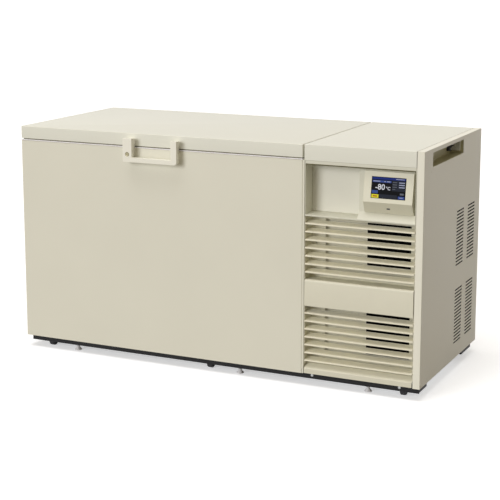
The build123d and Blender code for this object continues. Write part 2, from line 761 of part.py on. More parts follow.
def machine_deck():
    """The top cover of the machine compartment, with a drop at the front and the left."""
    x = (POST_RIGHT - 1, FLANGE_LEFT - SEAT)
    y = (FRONT, BACK)
    cover = block(x, y, (BODY_TOP, TOP))
    cover = fillet(cover.edges().filter_by(Axis.X).group_by(Axis.Z)[-1], SHEET)
    room = block((x[0] + SHEET, x[1] + 1), (y[0] + SHEET, y[1] + 1), (BODY_TOP - 1, TOP - SHEET))
    lip = block((x[0] + SHEET, x[1]), (y[0] + SHEET, deep(DECK_RETURN)), (BODY_TOP, BODY_TOP + SHEET))
    rear = block((x[0] - 1, x[1]), (y[1] - SHEET - SEAT, y[1] + 1), (BODY_TOP - 1, TOP - SHEET))
    return cover - room - rear + lip


def vent_slots():
    """The four groups of horizontal slots in the side panel."""
    slots = []
    for bottom in VENT_BOTTOMS:
        for column in VENT_COLUMNS:
            y = (deep(column), deep(column + VENT_LENGTH))
            for row in range(VENT_SLOTS):
                z = around(up(bottom + row * VENT_PITCH), VENT_SLOT)
                slots.append(block((RIGHT - 2 * SHEET, RIGHT + 1), y, z))
    return slots


def side_panel():
    """The right side, folded over along its front and top edges."""
    z = (CASE_LIFT, TOP)
    outside = block((FLANGE_LEFT, RIGHT), CHEST_Y, z)
    outside = fillet(outside.edges().filter_by(Axis.Z).group_by(Axis.X)[-1], SHEET)
    room = block((FLANGE_LEFT + SHEET, RIGHT - SHEET), (FRONT + SHEET, BACK + 1),
                 (CASE_LIFT - 1, TOP - SHEET))
    open_left = block((FLANGE_LEFT - 1, RIGHT - SHEET), (deep(FLANGE_RETURN), BACK + 1),
                      (CASE_LIFT - 1, TOP - SHEET))
    over_base = block((FLANGE_LEFT - 1, RIGHT - SHEET), (FRONT + SHEET, BACK + 1),
                      (CASE_LIFT - 1, BASE_TOP + SHEET + SEAT))
    window = block((RIGHT - 2 * SHEET, RIGHT + 1), (deep(RECESS_FRONT), deep(RECESS_REAR)),
                   (up(RECESS_BOTTOM), up(RECESS_CEILING)))
    return outside - room - open_left - over_base - window - vent_slots()


def recess_tray():
    """The tray behind the side panel's window."""
    x = (RIGHT - SHEET - TRAY_DEPTH, RIGHT - SHEET - SEAT)
    y = (deep(RECESS_FRONT), deep(RECESS_REAR))
    z = (up(RECESS_BOTTOM), up(RECESS_CEILING))
    tray = block((x[0] - SHEET, x[1]), grown(y, SHEET), grown(z, SHEET))
    return tray - block((x[0], x[1] + 1), y, z)


TRAY_BACK = RIGHT - SHEET - TRAY_DEPTH
BREAKER_Y = (deep(BREAKER_FRONT), deep(BREAKER_FRONT) + BREAKER[1])
BREAKER_Z = (up(BREAKER_BOTTOM), up(BREAKER_BOTTOM) + BREAKER[2])
TOGGLE_AXIS = (TRAY_BACK + BREAKER[0], middle(BREAKER_Z))


def rod_in_breaker(y, radius):
    """A nearly round bar along Y on the toggle's axis."""
    return bar_y(TOGGLE_AXIS[0], y, TOGGLE_AXIS[1], radius)


def breaker_body():
    """The power breaker, with a slot where its toggle turns on a pin."""
    body = block((TRAY_BACK, TRAY_BACK + BREAKER[0]), BREAKER_Y, BREAKER_Z)
    slot_y = around(middle(BREAKER_Y), TOGGLE_WIDTH + 1)
    room = rod_in_breaker(slot_y, TOGGLE_RADIUS + 1)
    cheek_radius = TOGGLE_PIN * 2
    cheeks = rod_in_breaker(grown(slot_y, 4), cheek_radius) - rod_in_breaker(slot_y, cheek_radius + 1)
    pin = rod_in_breaker(grown(slot_y, 2), TOGGLE_PIN)
    return body - room + cheeks + pin


def breaker_toggle():
    """The toggle, standing at the lower end of its throw."""
    y = around(middle(BREAKER_Y), TOGGLE_WIDTH)
    x, z = TOGGLE_AXIS
    drum = rod_in_breaker(y, TOGGLE_RADIUS)
    lever = block((0, TOGGLE_RADIUS + TOGGLE_LEVER), y, around(0, TOGGLE_THICK))
    lever = Pos(x, 0, z) * Rot(0, TOGGLE_TILT, 0) * lever
    return drum + lever - rod_in_breaker(grown(y, 1), TOGGLE_PIN + TOGGLE_PLAY)


def terminal_strip():
    """The alarm terminals, on the rear wall of the recess: a row of upright ways."""
    width, depth, height = TERMINALS
    x = (TRAY_BACK, TRAY_BACK + width)
    y = (deep(RECESS_REAR) - depth, deep(RECESS_REAR))
    z = around(middle(BREAKER_Z), height)
    strip = block(x, y, z)
    way = width / TERMINAL_WAYS
    for number in range(TERMINAL_WAYS):
        groove_x = around(x[0] + way * (number + 0.5), TERMINAL_GROOVE)
        strip -= block(groove_x, (y[0] - 1, y[0] + TERMINAL_GROOVE), grown(z, 1))
    return strip


def sloped_recess(x, depth, sill_back):
    """The space of a recess whose sill rises from the front edge to its back."""
    outline = [
        (deep(-1), up(SILL_FRONT)), (deep(0), up(SILL_FRONT)), (deep(depth), up(sill_back)),
        (deep(depth), up(RECESS_TOP)), (deep(-1), up(RECESS_TOP)),
    ]
    return drawn_along_x(x, outline)


BAY_X = (FASCIA_LEFT + PANEL_WALL, at(BAY_RIGHT))


def control_panel():
    """The moulding round the screen, with a deeper bay for a recorder on its left."""
    z = (up(PANEL_BOTTOM), up(PANEL_TOP))
    front = block((FASCIA_LEFT, FASCIA_RIGHT), (FRONT, deep(RECESS_DEPTH + PANEL_WALL)), z)
    bay = block((FASCIA_LEFT, BAY_X[1] + PANEL_WALL), (FRONT, deep(BAY_DEPTH + PANEL_WALL)), z)
    recess_x = (BAY_X[0], FASCIA_RIGHT - PANEL_WALL)
    recess = sloped_recess(recess_x, RECESS_DEPTH, SILL_BACK)
    panel = front + bay - recess - sloped_recess(BAY_X, BAY_DEPTH, BAY_SILL_BACK)
    for places, start in ((BAY_BOSSES, BAY_DEPTH), (RECESS_BOSSES, RECESS_DEPTH)):
        for x, height in places:
            panel += pin_y(at(x), (deep(start), BULKHEAD_Y[0]), up(height), BOSS_RADIUS)
    return panel


def recorder_blank():
    """The plain cover at the back of the bay, with its two screws."""
    x = grown(BAY_X, -BLANK_MARGIN)
    y = (deep(BAY_DEPTH - BLANK_THICK), deep(BAY_DEPTH))
    z = (up(BAY_SILL_BACK + BLANK_MARGIN), up(RECESS_TOP - BLANK_MARGIN))
    cover = block(x, y, z)
    for screw_x in grown(x, -BLANK_SCREW_INSET):
        cover += pin_y(screw_x, (y[0] - BLANK_SCREW_HEIGHT, y[0]), z[0] + BLANK_SCREW_INSET,
                       BLANK_SCREW_RADIUS)
    return cover


DISPLAY_X = (at(DISPLAY_LEFT), at(DISPLAY_RIGHT))
FACE_RISE = DISPLAY_TOP - DISPLAY_NOSE
FACE_LEAN = degrees(atan2(DISPLAY_TILT, FACE_RISE))


def on_screen_face(width, height, thick, proud):
    """A plate on the sloping face: its front stands proud of the face by an amount."""
    plate = Box(width, thick, height, align=(Align.CENTER, Align.MIN, Align.CENTER))
    lifted = Pos(0, -proud, SCREEN_UP_SLOPE) * plate
    return Pos(middle(DISPLAY_X), FRONT, up(DISPLAY_NOSE)) * Rot(-FACE_LEAN, 0, 0) * lifted


def display_housing():
    """The wedge that carries the touch screen: a leaning face over a receding chin."""
    outline = [
        (deep(RECESS_DEPTH), up(DISPLAY_TOP)), (deep(DISPLAY_TILT), up(DISPLAY_TOP)),
        (deep(0), up(DISPLAY_NOSE)), (deep(DISPLAY_TILT), up(DISPLAY_CHIN)),
        (deep(RECESS_DEPTH), up(DISPLAY_CHIN)),
    ]
    wedge = drawn_along_x(DISPLAY_X, outline)
    screen = on_screen_face(SCREEN_WIDTH + SEAT, SCREEN_HEIGHT + SEAT, SCREEN_THICK + 10, 10)
    chin_y = FRONT + PORT_DOWN_CHIN * DISPLAY_TILT
    chin_z = up(DISPLAY_NOSE - PORT_DOWN_CHIN * (DISPLAY_NOSE - DISPLAY_CHIN))
    width, depth, height = PORT_SIZE
    port = block(around(middle(DISPLAY_X), width), around(chin_y, 2 * depth), around(chin_z, height))
    return wedge - screen - port


def touch_screen():
    """The glass of the screen, flush with the housing's face."""
    return on_screen_face(SCREEN_WIDTH, SCREEN_HEIGHT, SCREEN_THICK, 0)


def louvre(x, bottom):
    """One blade: a lip in front, a shelf that rises to the back, and an upstand."""
    wall = LOUVRE_WALL
    back = LOUVRE_DEPTH
    outline = [
        (0, 0), (0, LOUVRE_LIP), (back - wall, LOUVRE_LIP + LOUVRE_RISE),
        (back - wall, LOUVRE_LIP + LOUVRE_RISE + LOUVRE_UPSTAND),
        (back, LOUVRE_LIP + LOUVRE_RISE + LOUVRE_UPSTAND),
        (back, LOUVRE_LIP + LOUVRE_RISE - wall), (wall, LOUVRE_LIP - wall), (wall, 0),
    ]
    placed = [(deep(y), up(bottom + z)) for y, z in outline]
    return drawn_along_x(x, placed)


GRILLE_X = (FASCIA_LEFT, FASCIA_RIGHT - PANEL_GAP)


def flat_band(x):
    """The plain band between the louvre groups, open behind, with a rounded top edge."""
    outside = block(x, (FRONT, deep(GRILLE_DEPTH)), (up(BAND_BOTTOM), up(BAND_TOP)))
    front_top = outside.edges().filter_by(Axis.X).group_by(Axis.Z)[-1].sort_by(Axis.Y)[0]
    outside = fillet(front_top, BAND_CORNER)
    room = block(grown(x, 1), (deep(GRILLE_WALL), deep(GRILLE_DEPTH + 1)),
                 (up(BAND_BOTTOM) - 1, up(BAND_TOP) - BAND_CORNER))
    return outside - room


def foot_band(x):
    """The lowest band, whose top slopes back."""
    outline = [
        (deep(0), up(GRILLE_BOTTOM)), (deep(0), up(FOOT_BAND_TOP)),
        (deep(FOOT_BAND_DEPTH), up(FOOT_BAND_BACK)), (deep(GRILLE_DEPTH), up(FOOT_BAND_BACK)),
        (deep(GRILLE_DEPTH), up(FOOT_BAND_BACK) - GRILLE_WALL),
        (deep(FOOT_BAND_DEPTH), up(FOOT_BAND_BACK) - GRILLE_WALL),
        (deep(GRILLE_WALL), up(FOOT_BAND_TOP) - GRILLE_WALL), (deep(GRILLE_WALL), up(GRILLE_BOTTOM)),
    ]
    return drawn_along_x(x, outline)


GRILLE_TOP = PANEL_BOTTOM - PANEL_GAP


def front_grille():
    """The whole intake grille, which pulls off forward."""
    x = GRILLE_X
    parts = flat_band(x) + foot_band(x)
    for first in (LOWER_LOUVRE, UPPER_LOUVRE):
        for row in range(LOUVRES):
            parts += louvre(x, first + row * LOUVRE_PITCH)
    back_y = (deep(GRILLE_DEPTH - GRILLE_WALL), deep(GRILLE_DEPTH))
    for bottom, top in ((FOOT_BAND_BACK, BAND_BOTTOM), (BAND_TOP, GRILLE_TOP)):
        z = (up(bottom) - GRILLE_WALL, up(top))
        sheet = block(x, back_y, z)
        window_z = (up(bottom + LOUVRE_PITCH), up(top - LOUVRE_PITCH / 2))
        window = block((at(GRILLE_WINDOW[0]), at(GRILLE_WINDOW[1])), grown(back_y, 1), window_z)
        parts += sheet - window
        parts += block((x[0], x[0] + GRILLE_WALL), (FRONT, deep(GRILLE_DEPTH)), z)
        parts += block((x[1] - GRILLE_WALL, x[1]), (deep(GRILLE_RIGHT_SETBACK), deep(GRILLE_DEPTH)), z)
    for place, height in STUD_PLACES:
        stud_y = (back_y[0], back_y[0] + STUD_REACH)
        parts += pin_y(at(place), stud_y, up(height), STUD_RADIUS)
    return parts


COMPARTMENT_X = (CHEST_RIGHT + SEAT, RIGHT - SHEET - SEAT)
CONDENSER_X = (at(CONDENSER_LEFT), at(CONDENSER_RIGHT))
CONDENSER_CENTRE = middle(CONDENSER_X)
BULKHEAD_Y = (deep(BULKHEAD_BACK), deep(BULKHEAD_BACK) + SHEET)
CONDENSER_Y = (BULKHEAD_Y[1], BULKHEAD_Y[1] + CONDENSER_DEPTH)
SHROUD_Y = (CONDENSER_Y[1], CONDENSER_Y[1] + SHROUD_DEPTH)


def condenser_z(bottom):
    return (up(bottom), up(bottom) + CONDENSER_HEIGHT)


def front_bulkhead():
    """The inner front sheet: windows for the condensers, holes for the grille's studs."""
    x = (POST_RIGHT + SEAT, FLANGE_LEFT + SHEET + SEAT)
    sheet = block(x, BULKHEAD_Y, (BASE_TOP + SHEET, up(PANEL_TOP)))
    for place, height in STUD_PLACES:
        sheet -= pin_y(at(place), grown(BULKHEAD_Y, 1), up(height),
                       clear_of_corners(STUD_RADIUS + STUD_PLAY))
    for bottom in CONDENSER_BOTTOMS:
        z = grown(condenser_z(bottom), -CONDENSER_FLANGE)
        sheet -= block(grown(CONDENSER_X, -CONDENSER_FLANGE), grown(BULKHEAD_Y, 1), z)
    return sheet


def condensers():
    """Two condensers: a comb of fins between a top and a bottom plate."""
    units = []
    for bottom in CONDENSER_BOTTOMS:
        z = condenser_z(bottom)
        fins = block((CONDENSER_X[0], CONDENSER_X[0] + FIN_THICK), CONDENSER_Y, z)
        places = int((CONDENSER_X[1] - CONDENSER_X[0] - FIN_THICK) / FIN_PITCH)
        step = (CONDENSER_X[1] - CONDENSER_X[0] - FIN_THICK) / places
        for number in range(1, places + 1):
            start = CONDENSER_X[0] + number * step
            fins += block((start, start + FIN_THICK), CONDENSER_Y, z)
        for edge in (z[0], z[1] - FIN_THICK):
            fins += block(CONDENSER_X, CONDENSER_Y, (edge, edge + FIN_THICK))
        units.append(fins)
    return units


def condenser_filters():
    """Two filters that stand in front of the condensers' windows."""
    filters = []
    y = (BULKHEAD_Y[0] - FILTER_THICK, BULKHEAD_Y[0])
    for bottom in CONDENSER_BOTTOMS:
        z = condenser_z(bottom)
        frame = block(CONDENSER_X, y, z)
        frame -= block(grown(CONDENSER_X, -FILTER_FRAME), grown(y, 1), grown(z, -FILTER_FRAME))
        mesh_y = around(middle(y), FILTER_THICK / 3)
        frame += block(CONDENSER_X, mesh_y, z)
        for bar in range(1, FILTER_BARS):
            place = CONDENSER_X[0] + bar * (CONDENSER_X[1] - CONDENSER_X[0]) / FILTER_BARS
            frame += block(around(place, SHROUD_WALL), y, z)
        filters.append(frame)
    return filters


def fan_shrouds():
    """Two boxes behind the condensers, each with the ring that its fan turns in."""
    shrouds = []
    for bottom in CONDENSER_BOTTOMS:
        z = condenser_z(bottom)
        box = block(CONDENSER_X, SHROUD_Y, z)
        room_y = (SHROUD_Y[0] - 1, SHROUD_Y[1] - SHROUD_WALL)
        box -= block(grown(CONDENSER_X, -SHROUD_WALL), room_y, grown(z, -SHROUD_WALL))
        box -= rod_y(CONDENSER_CENTRE, grown(SHROUD_Y, 1), middle(z), FAN_RADIUS + FAN_TIP_GAP)
        shrouds.append(box)
    return shrouds


FAN_Y = (SHROUD_Y[1] - FAN_THICK / 2, SHROUD_Y[1] + FAN_THICK / 2)
MOTOR_Y = (FAN_Y[1] + RUNNING_GAP, FAN_Y[1] + RUNNING_GAP + MOTOR_LENGTH)


def fan_motors():
    """Two motors, each on a cross of arms held off the shroud by its corner legs."""
    motors = []
    for bottom in CONDENSER_BOTTOMS:
        z = condenser_z(bottom)
        height = middle(z)
        can = Rot(90, 0, 0) * many_sided(MOTOR_RADIUS, MOTOR_LENGTH)
        motor = Pos(CONDENSER_CENTRE, MOTOR_Y[1], height) * can
        shaft = pin_y(CONDENSER_CENTRE, (FAN_Y[0] - SHAFT_END, MOTOR_Y[0]), height, MOTOR_SHAFT)
        arm_y = (MOTOR_Y[0], MOTOR_Y[0] + MOTOR_ARM)
        arms = block(CONDENSER_X, arm_y, around(height, MOTOR_ARM))
        for edge in (CONDENSER_X[0], CONDENSER_X[1] - MOTOR_ARM):
            arms += block((edge, edge + MOTOR_ARM), (SHROUD_Y[1], arm_y[1]), around(height, MOTOR_ARM))
        motors.append(motor + shaft + arms)
    return motors


def condenser_fan(bottom):
    """A hub with pitched blades."""
    height = middle(condenser_z(bottom))
    hub = Pos(0, FAN_THICK / 2, 0) * Rot(90, 0, 0) * many_sided(FAN_HUB, FAN_THICK)
    blade = Pos(0, 0, FAN_HUB * 0.8) * Rot(0, 0, FAN_PITCH_ANGLE) * Box(
        FAN_BLADE_CHORD, FAN_BLADE_THICK, FAN_RADIUS - FAN_HUB * 0.8,
        align=(Align.CENTER, Align.CENTER, Align.MIN))
    fan = hub
    for number in range(FAN_BLADES):
        fan += Rot(0, number * 360 / FAN_BLADES, 0) * blade
    fan -= pin_y(0, grown(around(0, FAN_THICK), 1), 0, clear_of_corners(MOTOR_SHAFT + SHAFT_PLAY))
    return Pos(CONDENSER_CENTRE, middle(FAN_Y), height) * fan


def compressors():
    """Two welded cans on their mounting bases."""
    cans = []
    floor = BASE_TOP + SHEET
    for distance in COMPRESSORS_FROM_FRONT:
        can = many_sided(COMPRESSOR_RADIUS, COMPRESSOR_HEIGHT - COMPRESSOR_DOME)
        shoulder = can.faces().sort_by(Axis.Z)[-1]
        can += extrude(shoulder, amount=COMPRESSOR_DOME, taper=COMPRESSOR_DOME_LEAN)
        base = Box(COMPRESSOR_BASE, COMPRESSOR_BASE, COMPRESSOR_BASE_THICK)
        for foot_x in around(0, COMPRESSOR_BASE - COMPRESSOR_FOOT_WIDTH):
            for foot_y in around(0, COMPRESSOR_BASE - COMPRESSOR_FOOT_WIDTH):
                base += block(around(foot_x, COMPRESSOR_FOOT_WIDTH),
                              around(foot_y, COMPRESSOR_FOOT_WIDTH), (-COMPRESSOR_FOOT, 0))
        cans.append(Pos(at(COMPRESSOR_X), deep(distance), floor + COMPRESSOR_FOOT) * (can + base))
    return cans


def heat_exchanger():
    """The insulated box of the cascade exchanger, fixed to the chest's end wall."""
    x = (CHEST_RIGHT + SEAT, CHEST_RIGHT + SEAT + EXCHANGER[0])
    y = (deep(EXCHANGER_FROM_FRONT), deep(EXCHANGER_FROM_FRONT) + EXCHANGER[1])
    z = (up(EXCHANGER_BOTTOM), up(EXCHANGER_BOTTOM) + EXCHANGER[2])
    box = block(x, y, z)
    return fillet(upright_edges(box), CASE_CORNER * 3)


def electrical_box():
    """The control box, fixed to the rear panel."""
    x_end = RIGHT - SHEET - ELECTRICAL_SIDE_GAP
    back = BACK - SHEET
    z = (up(ELECTRICAL_BOTTOM), up(ELECTRICAL_BOTTOM) + ELECTRICAL_BOX[2])
    return block((x_end - ELECTRICAL_BOX[0], x_end), (back - ELECTRICAL_BOX[1], back), z)


def rear_panel():
    """The back of the machine compartment, with two groups of slots."""
    y = (BACK - SHEET, BACK)
    panel = block((CHEST_RIGHT + SEAT, RIGHT - SHEET - SEAT), y, (CASE_LIFT, TOP - SHEET - SEAT))
    slots = []
    for left in REAR_VENT_LEFTS:
        x = (at(left), at(left + REAR_VENT_LENGTH))
        for row in range(REAR_VENT_ROWS):
            z = around(up(REAR_VENT_BOTTOM + row * REAR_VENT_PITCH), REAR_VENT_SLOT)
            slots.append(block(x, grown(y, 1), z))
    gland = rod_y(at(GLAND_X), grown(y, 1), up(GLAND_HEIGHT), GLAND_RADIUS * 0.6)
    return panel - slots - gland


def cord_gland():
    """The gland where the supply cord enters, standing on the rear panel."""
    y = (BACK, BACK + GLAND_LENGTH)
    x = at(GLAND_X)
    z = up(GLAND_HEIGHT)
    nut = Rot(-90, 0, 0) * many_sided(GLAND_NUT_RADIUS, GLAND_NUT, 6)
    dome = Rot(-90, 0, 0) * many_sided(GLAND_RADIUS, GLAND_LENGTH, SMALL_SIDES)
    return Pos(x, BACK, z) * (nut + dome) - rod_y(x, grown(y, 1), z, GLAND_BORE)


def rear_spacers():
    """Four bumpers that hold the back off a wall."""
    spacers = []
    for place in SPACER_PLACES:
        neck = many_sided(SPACER_RADIUS, REAR_STANDOFF - SPACER_TIP)
        rim = neck.faces().sort_by(Axis.Z)[-1]
        bumper = neck + extrude(rim, amount=SPACER_TIP, taper=SPACER_LEAN)
        spacers.append(Pos(at(place), BACK, up(SPACER_HEIGHT)) * Rot(-90, 0, 0) * bumper)
    return spacers


def named_pieces():
    """Every node of the freezer with its solid or solids."""
    left_lid, right_lid = inner_lids()
    pieces = {
        "outer_case": outer_case(),
        "insulation": insulation(),
        "inner_liner": inner_liner(),
        "throat_frame": throat_frame(),
        "lid_shell": lid_shell(),
        "lid_pan": lid_pan(),
        "lid_foam": lid_foam(),
        "lid_gasket": lid_gasket(),
        "inner_lid_left": left_lid,
        "inner_lid_right": right_lid,
        "cabinet_hinges": cabinet_hinges(),
        "lid_hinge_leaves": lid_hinge_leaves(),
        "latch_brackets": latch_brackets(),
        "latch_handle": latch_handle(),
        "key_cylinder": key_cylinder(),
        "base_frame": base_frame(),
        "machine_base_plate": machine_base_plate(),
        "caster_plates": caster_plates(),
        "front_post": front_post(),
        "machine_deck": machine_deck(),
        "side_panel": side_panel(),
        "recess_tray": recess_tray(),
        "breaker_body": breaker_body(),
        "breaker_toggle": breaker_toggle(),
        "terminal_strip": terminal_strip(),
        "control_panel": control_panel(),
        "recorder_blank": recorder_blank(),
        "display_housing": display_housing(),
        "touch_screen": touch_screen(),
        "front_grille": front_grille(),
        "front_bulkhead": front_bulkhead(),
        "condensers": condensers(),
        "condenser_filters": condenser_filters(),
        "fan_shrouds": fan_shrouds(),
        "fan_motors": fan_motors(),
        "lower_fan": condenser_fan(CONDENSER_BOTTOMS[0]),
        "upper_fan": condenser_fan(CONDENSER_BOTTOMS[1]),
        "compressors": compressors(),
        "heat_exchanger": heat_exchanger(),
        "electrical_box": electrical_box(),
        "rear_panel": rear_panel(),
        "cord_gland": cord_gland(),
        "rear_spacers": rear_spacers(),
    }
    for row, y in CASTER_ROWS.items():
        for side, place in zip(SIDES, CASTER_PLACES):
            pieces[f"caster_fork_{row}_{side}"] = caster_fork(place, y)
            pieces[f"caster_wheels_{row}_{side}"] = caster_wheels(place, y)
    for side, place in zip(SIDES, FOOT_PLACES):
        pieces[f"levelling_foot_{side}"] = levelling_foot(place)
    return pieces


def write_pieces():
    """Write one STEP file for each node."""
    os.makedirs("parts", exist_ok=True)
    for node, shape in named_pieces().items():
        solids = shape if isinstance(shape, list) else [shape]
        whole = Compound(children=[Compound(piece.wrapped).solid() for piece in solids])
        export_step(whole if len(solids) > 1 else solids[0], f"parts/{node}.step")


write_pieces()
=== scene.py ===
import logging
import math
from dataclasses import dataclass
from enum import Enum
from typing import Sequence

import bmesh
import bpy
from mathutils import Matrix, Vector


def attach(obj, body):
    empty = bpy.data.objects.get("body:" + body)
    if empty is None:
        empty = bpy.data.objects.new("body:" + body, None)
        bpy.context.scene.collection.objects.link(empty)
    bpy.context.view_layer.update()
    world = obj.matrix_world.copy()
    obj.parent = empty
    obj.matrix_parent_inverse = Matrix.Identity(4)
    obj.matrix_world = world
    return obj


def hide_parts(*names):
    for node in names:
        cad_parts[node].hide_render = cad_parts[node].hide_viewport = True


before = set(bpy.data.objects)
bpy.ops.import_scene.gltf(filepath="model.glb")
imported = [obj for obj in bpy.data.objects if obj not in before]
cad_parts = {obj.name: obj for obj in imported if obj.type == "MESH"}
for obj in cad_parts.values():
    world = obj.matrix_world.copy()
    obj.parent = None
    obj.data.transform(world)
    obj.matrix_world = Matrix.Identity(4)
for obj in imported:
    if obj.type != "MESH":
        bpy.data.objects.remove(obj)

LOG = logging.getLogger("chest_freezer")
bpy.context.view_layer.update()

Tree = bpy.types.NodeTree
Node = bpy.types.Node
Socket = bpy.types.NodeSocket
Piece = bpy.types.Object
Span = tuple[float, float]
Outline = Sequence[tuple[float, float]]

# The case's own measures, in millimetres: X from its left end, Y from its front
# plane to the back, Z from the lower edge of its paint.
CASE_WIDTH = 2000.0
CASE_DEPTH = 846.0
CASE_HEIGHT = 1024.0
CASE_LIFT = 55.0
CHEST_WIDTH = 1452.0
BODY_TOP = 956.0
LID_BOTTOM = 966.0
SIDES = ("left", "middle", "right")


def spot(x: float, y: float, z: float) -> Vector:
    """A place given in the case's millimetres, in the frame's metres."""
    return Vector(((x - CASE_WIDTH / 2) / 1000, (y - CASE_DEPTH / 2) / 1000, (z + CASE_LIFT) / 1000))


def linear(hex_colour: str) -> tuple[float, float, float, float]:
    """Turn an sRGB hex colour into Blender's linear one.

    Args:
        hex_colour: Six hex digits, with or without a leading sign.

    Returns:
        Red, green, blue and an alpha of one.
    """
    digits = hex_colour.lstrip("#")
    values = [int(digits[start:start + 2], 16) / 255 for start in (0, 2, 4)]
    turned = [v / 12.92 if v <= 0.04045 else ((v + 0.055) / 1.055) ** 2.4 for v in values]
    return turned[0], turned[1], turned[2], 1.0


def set_inputs(node: Node, values: dict) -> None:
    """Fix a node's inputs, given by socket name or number."""
    for key, value in values.items():
        node.inputs[key].default_value = value


def add_node(tree: Tree, kind: str, values: dict | None = None, links: dict | None = None,
             **settings: object) -> Node:
    """Add one node with its settings, its fixed inputs and its links.

    Args:
        tree: The node tree.
        kind: The node's type name.
        values: Input values by socket name or number.
        links: Output sockets that feed inputs, by socket name or number.
        **settings: The node's own properties.

    Returns:
        The node.
    """
    node = tree.nodes.new(kind)
    for name, value in settings.items():
        setattr(node, name, value)
    set_inputs(node, values or {})
    for key, source in (links or {}).items():
        tree.links.new(source, node.inputs[key])
    return node


# Finishes


@dataclass(frozen=True)
class Finish:
    """What every finish shares: a name, a colour and how glossy it is."""

    name: str
    colour: str
    roughness: float = 0.5

    def material(self) -> bpy.types.Material:
        """The finish's material, made once and then reused."""
        made = bpy.data.materials.get(self.name)
        if made:
            return made
        made = bpy.data.materials.new(self.name)
        made.use_nodes = True
        tree = made.node_tree
        tree.nodes.clear()
        shader = add_node(tree, "ShaderNodeBsdfPrincipled", {
            "Roughness": self.roughness, "Base Color": linear(self.colour)})
        add_node(tree, "ShaderNodeOutputMaterial", links={"Surface": shader.outputs[0]})
        made.diffuse_color = linear(self.colour)
        self.detail(tree, shader)
        return made

    def detail(self, tree: Tree, shader: Node) -> None:
        """Give the shader this finish's own pattern and gloss."""

    def pattern(self, tree: Tree, kind: str, size_mm: float, values: dict | None = None,
                **settings: object) -> Node:
        """Add a texture of one real size, laid out in the object's own space."""
        place = add_node(tree, "ShaderNodeTexCoord")
        return add_node(tree, kind, {"Scale": 1000 / size_mm} | (values or {}),
                        {"Vector": place.outputs["Object"]}, **settings)

    def shaded(self, tree: Tree, shader: Node, source: Socket, factors: Span,
               positions: Span = (0.0, 1.0)) -> None:
        """Let a pattern pick between two shades of the colour.

        Args:
            tree: The node tree.
            shader: The principled shader.
            source: The pattern.
            factors: The factors of the darker and of the lighter shade.
            positions: The pattern's values at which they stand.
        """
        base = linear(self.colour)
        ramp = add_node(tree, "ShaderNodeValToRGB", links={"Fac": source})
        for stop, position, factor in zip(ramp.color_ramp.elements, positions, factors):
            stop.position = position
            stop.color = [min(1.0, channel * factor) for channel in base[:3]] + [1.0]
        tree.links.new(ramp.outputs["Color"], shader.inputs["Base Color"])

    def toned(self, tree: Tree, shader: Node, size_mm: float, darker: float, lighter: float) -> Socket:
        """Vary the colour in patches of one size, and hand on their pattern for the gloss."""
        noise = self.pattern(tree, "ShaderNodeTexNoise", size_mm, {"Detail": 3.0})
        self.shaded(tree, shader, noise.outputs["Fac"], (darker, lighter), (0.3, 0.7))
        return noise.outputs["Fac"]

    def bumped(self, tree: Tree, shader: Node, height: Socket, depth_mm: float, strength: float) -> None:
        """Let a height pattern catch the light, as deep as a real length."""
        bump = add_node(tree, "ShaderNodeBump", {"Strength": strength, "Distance": depth_mm / 1000},
                        {"Height": height})
        tree.links.new(bump.outputs["Normal"], shader.inputs["Normal"])

    def uneven_gloss(self, tree: Tree, shader: Node, source: Socket, spread: float) -> None:
        """Vary the roughness by a little either way."""
        gloss = add_node(tree, "ShaderNodeMapRange", {
            "To Min": self.roughness - spread, "To Max": self.roughness + spread}, {"Value": source})
        tree.links.new(gloss.outputs["Result"], shader.inputs["Roughness"])


@dataclass(frozen=True)
class PowderCoat(Finish):
    """Baked polyester powder on steel sheet: satin, with a faint orange peel that softens
    its highlights and tones that drift a little over a wide panel."""

    peel_mm: float = 5.0
    peel_depth_mm: float = 0.02
    coat: float = 0.08
    specular: float = 0.5

    def detail(self, tree: Tree, shader: Node) -> None:
        """The real peel is 1 to 2 mm wide; it is drawn at 5 mm so that it shows."""
        self.uneven_gloss(tree, shader, self.toned(tree, shader, 420.0, 0.985, 1.012), 0.04)
        peel = self.pattern(tree, "ShaderNodeTexNoise", self.peel_mm, {"Detail": 2.0})
        self.bumped(tree, shader, peel.outputs["Fac"], self.peel_depth_mm, 0.6)
        set_inputs(shader, {"IOR": 1.5, "Specular IOR Level": self.specular,
                            "Coat Weight": self.coat, "Coat Roughness": 0.35})


@dataclass(frozen=True)
class MouldedPlastic(Finish):
    """Injection moulded ABS: an even colour with a fine spark-eroded grain."""

    grain_mm: float = 1.6
    grain_depth_mm: float = 0.02
    specular: float = 0.5

    def detail(self, tree: Tree, shader: Node) -> None:
        """The real grain is about 0.3 mm; it is drawn at 1.6 mm so that it shows."""
        self.uneven_gloss(tree, shader, self.toned(tree, shader, 90.0, 0.985, 1.01), 0.05)
        grain = self.pattern(tree, "ShaderNodeTexVoronoi", self.grain_mm, feature="SMOOTH_F1")
        self.bumped(tree, shader, grain.outputs["Distance"], self.grain_depth_mm, 0.5)
        set_inputs(shader, {"IOR": 1.53, "Specular IOR Level": self.specular})


class Grain(Enum):
    """The way along which a sheet was brushed, if any."""

    ALONG_X = (0.02, 1.0, 1.0)
    NONE = (1.0, 1.0, 1.0)


